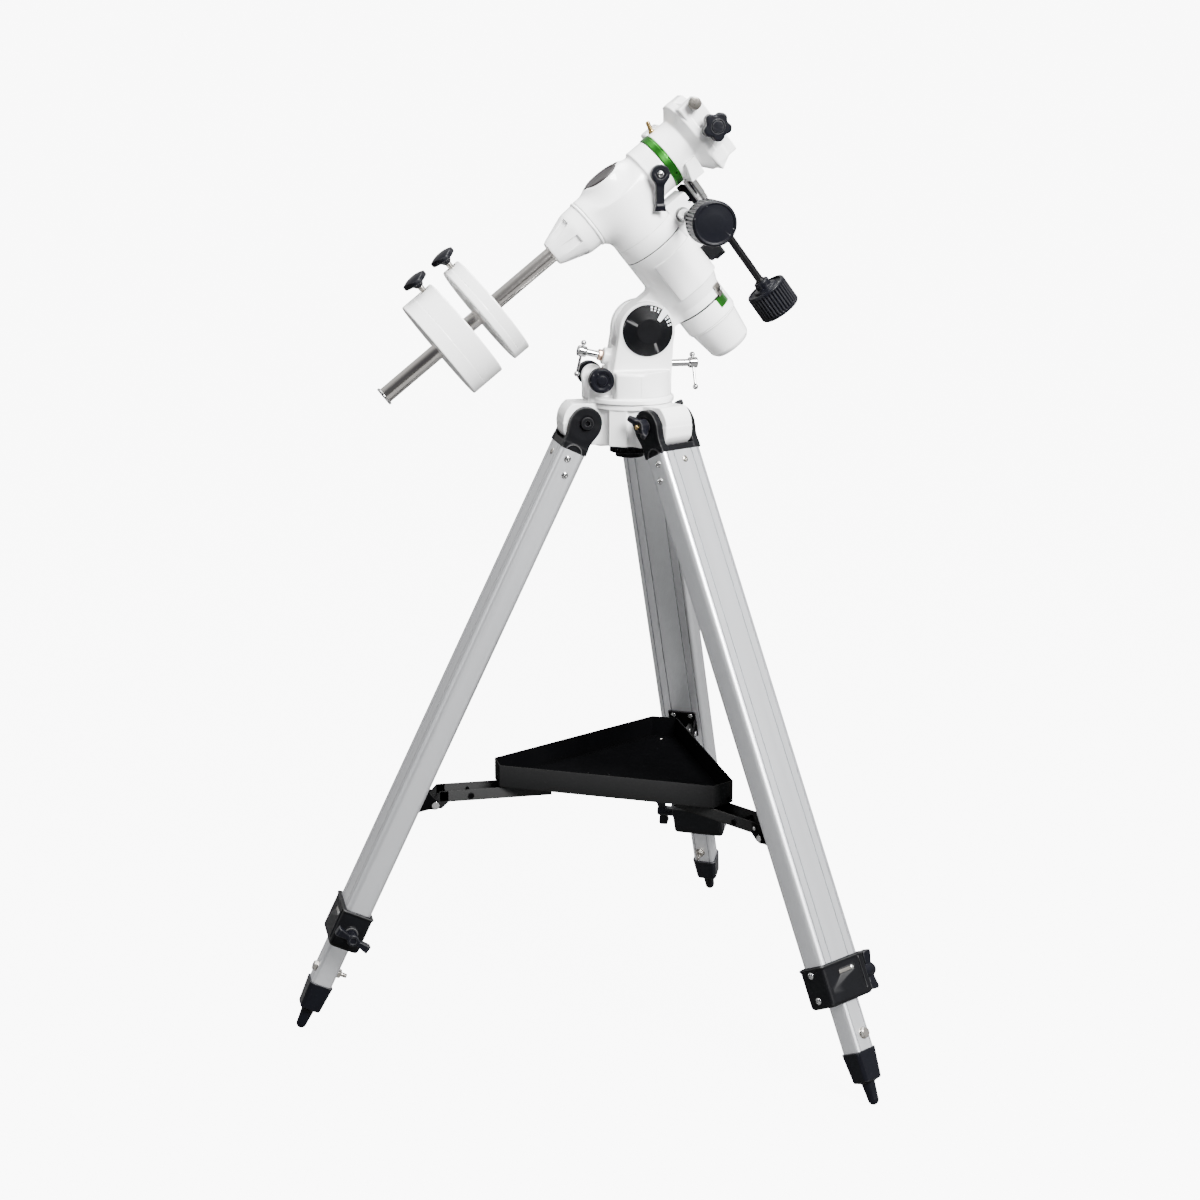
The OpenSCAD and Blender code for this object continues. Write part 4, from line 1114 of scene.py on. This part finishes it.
# ---------------------------------------------------------------- slow motion controls
def slow_motion(name, place, body, knob_z, sleeve_z, coupling, knob_node, slot_angle):
    """Chrome coupling, flexible shaft in its sleeve and fluted knob, along z from the worm."""
    near, far = coupling
    tube = [(0, near), (6.4, near), (7.2, near + 0.8), (7.2, far - 7), (6.6, far - 6.4), (6.6, far - 1),
            (6.0, far), (0, far)]
    lathe(name + "_coupling", tube, place, body, CHROME, sides=64)
    screw = turned(place, slot_angle, "Z")
    for k, z in enumerate((near + 6, far - 4)):
        fastener("pan_screw", f"{name}_coupling_screw_{k}", aim(screw, (1, 0, 0), (6.6, 0, z)), body,
                 scale=0.55)
    a, b = far - 0.5, sleeve_z
    sleeve = [(0, a), (5.6, a), (5.8, a + 5), (4.6, a + 7), (4.4, b - 5), (5.6, b - 3), (5.6, b), (0, b)]
    lathe(name + "_sleeve", sleeve, place, body, SLEEVE_AND_SEAM_SHADE_BLACK, sides=40, corner=0.3)
    base, top, r, rim = knob_z, knob_z + 36, 24.3, 21.4
    grip = [(0, base - 7), (8.4, base - 7), (9.2, base - 5.6), (9.2, base + 1), (13.5, base + 1.6),
            (15, base + 4.5), (20.2, base + 4.5), (20.8, base + 2.2), (23, base + 2.2), (r, base + 4),
            (r, top - 2.6), (rim + 1.4, top - 0.6), (rim + 0.2, top), (rim - 1.2, top - 1.2), (10, top - 0.5),
            (0, top - 0.2)]
    lathe(name + "_knob_grip", grip, place, body, PLASTIC, [knob_node], corner=0.7,
          flutes=(36, 1.5, base + 5, top - 3.4, r))


def controls():
    worm = aim(HEAD, (0, -1, 0), (42.5, 0, -56.5))
    slow_motion("ra_control", worm, "ra_control", 122, 118, (27, 52), "ra_knob", -130)
    lathe("ra_worm_shaft", [(0, 16), (5, 16), (5, 28), (0, 28)], worm, "ra_control", STEEL, sides=40)
    bearing = [(0, 19.6), (8.6, 19.6), (8.6, 21.4), (7.8, 22.2), (5.6, 22.2), (5.3, 20.8), (0, 20.8)]
    lathe("ra_bearing_ring", bearing, worm, "ra_housing", CHROME, sides=56, corner=0.3)
    down = aim(DEC_WORM, (0, 0, -1))
    slow_motion("dec_control", down, "dec_control", 136, 131, (-16, 14), "dec_knob", -60)
    lo, hi, pad = (59.4, -6, -63), (67.4, 8, -34.6), 1.5
    cast("ra_worm_guard", lambda P: round_box(P, lo, hi, 1.2), [v - pad for v in lo], [v + pad for v in hi],
         0.7, HEAD, "ra_housing", POWDER)
    cast("ra_worm_cover", worm_cover, (37, -16, -124), (58, 16, -97), 0.8, HEAD, "ra_housing", NYLON)
    clip = [(0, 0), (3.4, 0), (3.4, 5), (6.5, 9.5), (6.5, 14.5), (3.6, 14.5), (3.6, 11), (0.2, 6.4)]
    stand = Matrix(((1, 0, 0, 0), (0, 0, -1, 0), (0, 1, 0, 0), (0, 0, 0, 1)))
    prism("ra_index_clip", clip, -4, 4, shifted(turned(HEAD, WINDOW_TURN, "Z"), 30.2, 0, -153) @ stand,
          "ra_housing", DARK_NICKEL, bevel=0.3)


def worm_cover(P):
    lid = round_box(P, (38, -15, -120), (56, 15, -98.2), 2.0)
    cap = round_box(P, (44, -12, -123), (57.2, 12, -101), 1.6)
    return smin(lid, cap, 1.2)


# ---------------------------------------------------------------- levers, circle and saddle fittings
def lever(P):
    """Lock lever: round head at the origin, slightly waisted arm towards -z and a foot, thickness on y."""
    head = rod(P, "y", -4.6, 4.2, 10.4, edge=1.4)
    x, z = P[..., 0], P[..., 2]
    width = 5.2 - 0.7 * np.sin(np.clip(-z / 40, 0, 1) * math.pi)
    arm = smax(smax(np.abs(x) - width, np.abs(z + 19) - 16, 1), np.abs(P[..., 1] + 0.2) - 3.4, 1.2)
    toe = slab(P, "y", -4.0, 3.4, [(-40, -7.2), (-34, -4.8), (-34, 4.8), (-40, 7.2)], 1.4)
    body = smin(smin(head, arm, 4), toe, 3)
    dish = rod(P, "y", -9, -3.9, 5.6, edge=0.4)
    return smax(body, -dish, 0.6)


def star(P):
    """Five-lobed knob on z with a raised centre button."""
    angle = np.arctan2(P[..., 1], P[..., 0])
    radius = np.hypot(P[..., 0], P[..., 1])
    rim = 16.0 - 3.6 * (0.5 - 0.5 * np.cos(5 * angle)) ** 1.6
    body = smax((radius - rim) * 0.85, np.abs(P[..., 2] - 7) - 7, 2.2)
    collar = spun(P, "z", [(0, -3), (8, -3), (10, 3), (0, 3)], edge=1)
    ring = rod(P, "z", 10, 14.6, 8.2, edge=0.9)
    groove = smax(np.abs(radius - 7.0) - 0.55, 13.6 - P[..., 2], 0.2)
    body = smin(smin(body, collar, 2), ring, 0.8)
    return smax(body, -groove, 0.5)


def lock_levers():
    made = cast_mesh("lock_lever", lever, (-11.5, -5.5, -43), (11.5, 5.5, 11.5), 0.5)
    near = shifted(HEAD, 47.9, -36.2, -2.6)
    upright = Matrix.Rotation(math.atan2(HEAD.col[0].z, HEAD.col[2].z), 4, "Y")
    place_cast("dec_lock_lever", made, near @ upright, "dec_lever", PLASTIC, ["dec_lever"])
    fastener("pan_screw", "dec_lever_screw", aim(near, (0, -1, 0), (0, -3.9, 0)), "dec_lever")
    far = shifted(HEAD, 0, 42.2, -25.5)
    place_cast("ra_lock_lever", made, turned(far, 180, "X"), "ra_lever", PLASTIC, ["ra_lever"])
    fastener("pan_screw", "ra_lever_screw", aim(far, (0, 1, 0), (0, 3.9, 0)), "ra_lever")
    disc = [(0, -2.5), (20.1, -2.5), (20.1, 0.2), (22, 0.2), (22, 2.2), (20.8, 3), (17, 3), (16.2, 2.3),
            (0, 2.3)]
    lathe("polar_cap_disc", disc, shifted(HEAD, z=29.0), "polar_cap", CAP_BLACK, ["polar_cap"],
          corner=0.4)


def circle_ring():
    """Green declination circle with a fine groove near one edge and small set-screw holes."""
    def field(P):
        body = rod(P, "x", 59.1, 68, 32, edge=0.8)
        for angle in (0, 120, 240):
            hole = rod(spin(P, "x", angle + 28), "y", -34, -29, 1.1, centre=(0, 64.2), edge=0.1)
            body = smax(body, -hole, 0.2)
        radius = np.hypot(P[..., 1], P[..., 2])
        lip = smax(np.abs(P[..., 0] - 66.6) - 0.35, 31.6 - radius, 0.1)
        return smax(smax(body, -lip, 0.2), -rod(P, "x", 50, 80, 16.4, edge=0.1), 0.2)
    cast("declination_circle", field, (58, -33, -33), (69, 33, 33), 0.7, HEAD, "saddle", GREEN,
         ["dec_circle"])


def saddle_fittings():
    seat = aim(HEAD, (0, -1, 0), (125, -47, 0.6))
    cast("saddle_star_knob", star, (-17, -17, -4), (17, 17, 15.5), 0.55, turned(seat, 24, "Z"), "saddle_knob",
         PLASTIC, ["saddle_knob"])
    lathe("saddle_knob_screw", [(0, -24), (4, -24), (4, 2), (0, 2)], seat, "saddle_knob", STEEL,
          sides=36)
    thumb = [(0, -10), (2.5, -10), (2.5, 0.4), (3.6, 1), (3.6, 3.4), (6.8, 3.8), (7.0, 9.6), (6.2, 10.5),
             (0, 10.8)]
    lathe("saddle_thumb_screw", thumb, aim(HEAD, (0, -1, 0), (123, -38.5, 33.5)), "saddle_screw", DARK_NICKEL,
          ["saddle_screw"], corner=0.35, flutes=(24, 0.7, 4.2, 9.8, 6.8))
    base, tip = Vector((74.5, 0, 31.4)), Vector((77.9, 0, 44.5))
    pin = [(0, -3), (3.4, -3), (3.4, 2), (2.5, 2.4), (2.5, 11.6), (1.6, 13), (0, 13)]
    lathe("index_pin", pin, aim(HEAD, tip - base, base), "saddle", BRASS, sides=32, corner=0.3)


# ---------------------------------------------------------------- counterweights
WEIGHT_R = 61


def weight_field(near, t, knob_q):
    def field(P):
        Q = P.copy()
        Q[..., 0] = -P[..., 0]
        body = rod(Q, "x", near, near + t, WEIGHT_R, edge=1.6)
        radius, station = np.hypot(P[..., 1], P[..., 2]), Q[..., 0]
        seam = smax(np.abs(station - near - 0.6 * t) - 0.22, WEIGHT_R - 0.25 - radius, 0.05)
        body = smax(body, -seam, 0.2)
        bore = 9.2 - radius
        well = rod(P, "z", 58.6, 66, 6.0, centre=(-knob_q, 0), edge=0.3)
        return smax(smax(body, bore, 0.6), -well, 0.5)
    return field


def clamp_mushroom(P):
    """Clamp knob on z: a three-lobed cap with a conical underside."""
    angle, radius = np.arctan2(P[..., 1], P[..., 0]), np.hypot(P[..., 0], P[..., 1])
    rim = 14.2 + 1.6 * np.cos(3 * angle)
    crown = smax((radius - rim) * 0.92, np.abs(P[..., 2] - 15.0) - 4.4, 2.4)
    dome = np.sqrt(radius ** 2 + (P[..., 2] + 13.5) ** 2) - 33.4
    cone = spun(P, "z", [(0, 5.5), (4.2, 5.5), (7.6, 11), (7.6, 14), (0, 14)], edge=1)
    return smin(smax(crown, dome, 0.8), cone, 3)


def counterweights():
    cap = cast_mesh("clamp_mushroom", clamp_mushroom, (-17, -17, 5), (17, 17, 21), 0.6)
    screw = [(0, -51.6), (3, -51.6), (3, 1), (3.4, 1.4), (3.4, 6.5), (0, 6.5)]
    for name, near, t, knob_q in (("large", 218.5, 41, 229.5), ("small", 179.5, 21, 190)):
        lo, hi = (-near - t - 1, -62, -62), (-near + 1, 62, 62)
        made = cast_mesh("counterweight_" + name, weight_field(near, t, knob_q), lo, hi, 1.0, 0.3)
        weight, knob = "weight_" + name, "weight_knob_" + name
        place_cast("counterweight_" + name, made, HEAD, weight, IRON_ENAMEL, [weight])
        place = shifted(HEAD, x=-knob_q, z=WEIGHT_R)
        place_cast("weight_knob_cap_" + name, cap, turned(place, 35, "Z"), knob, PLASTIC,
                   [knob])
        lathe("weight_clamp_screw_" + name, screw, place, knob, NICKEL, sides=36, corner=0.3)
    bar = aim(HEAD, (-1, 0, 0))
    lathe("counterweight_shaft", [(0, 90), (8.98, 90), (8.98, 336.4), (8.2, 337), (0, 337)], bar, "saddle",
          BAR_CHROME, ["counterweight_bar"], sides=96, corner=0.3)
    lathe("bar_end_stop", [(0, 335.2), (10.4, 335.2), (11, 335.8), (11, 338), (10.2, 338.3), (3.4, 338.3),
                           (3.0, 337.2), (0, 337.2)], bar, "saddle", CHROME, sides=64, corner=0.3)


def repaint(nodes, material):
    """A CAD node that is shown as it is keeps its mesh and takes a finish."""
    for node in nodes:
        mesh = frame["nodes"][node].data
        mesh.materials.clear()
        mesh.materials.append(material)


def carried_over():
    repaint(["ra_circle"], GREEN)
    repaint(["ra_shaft", "dec_shaft", "ra_worm", "dec_worm"], STEEL)


studio()
head_castings()
base_castings()
tripod_legs()
spreader()
tray()
fork_fittings()
controls()
lock_levers()
circle_ring()
saddle_fittings()
counterweights()
carried_over()
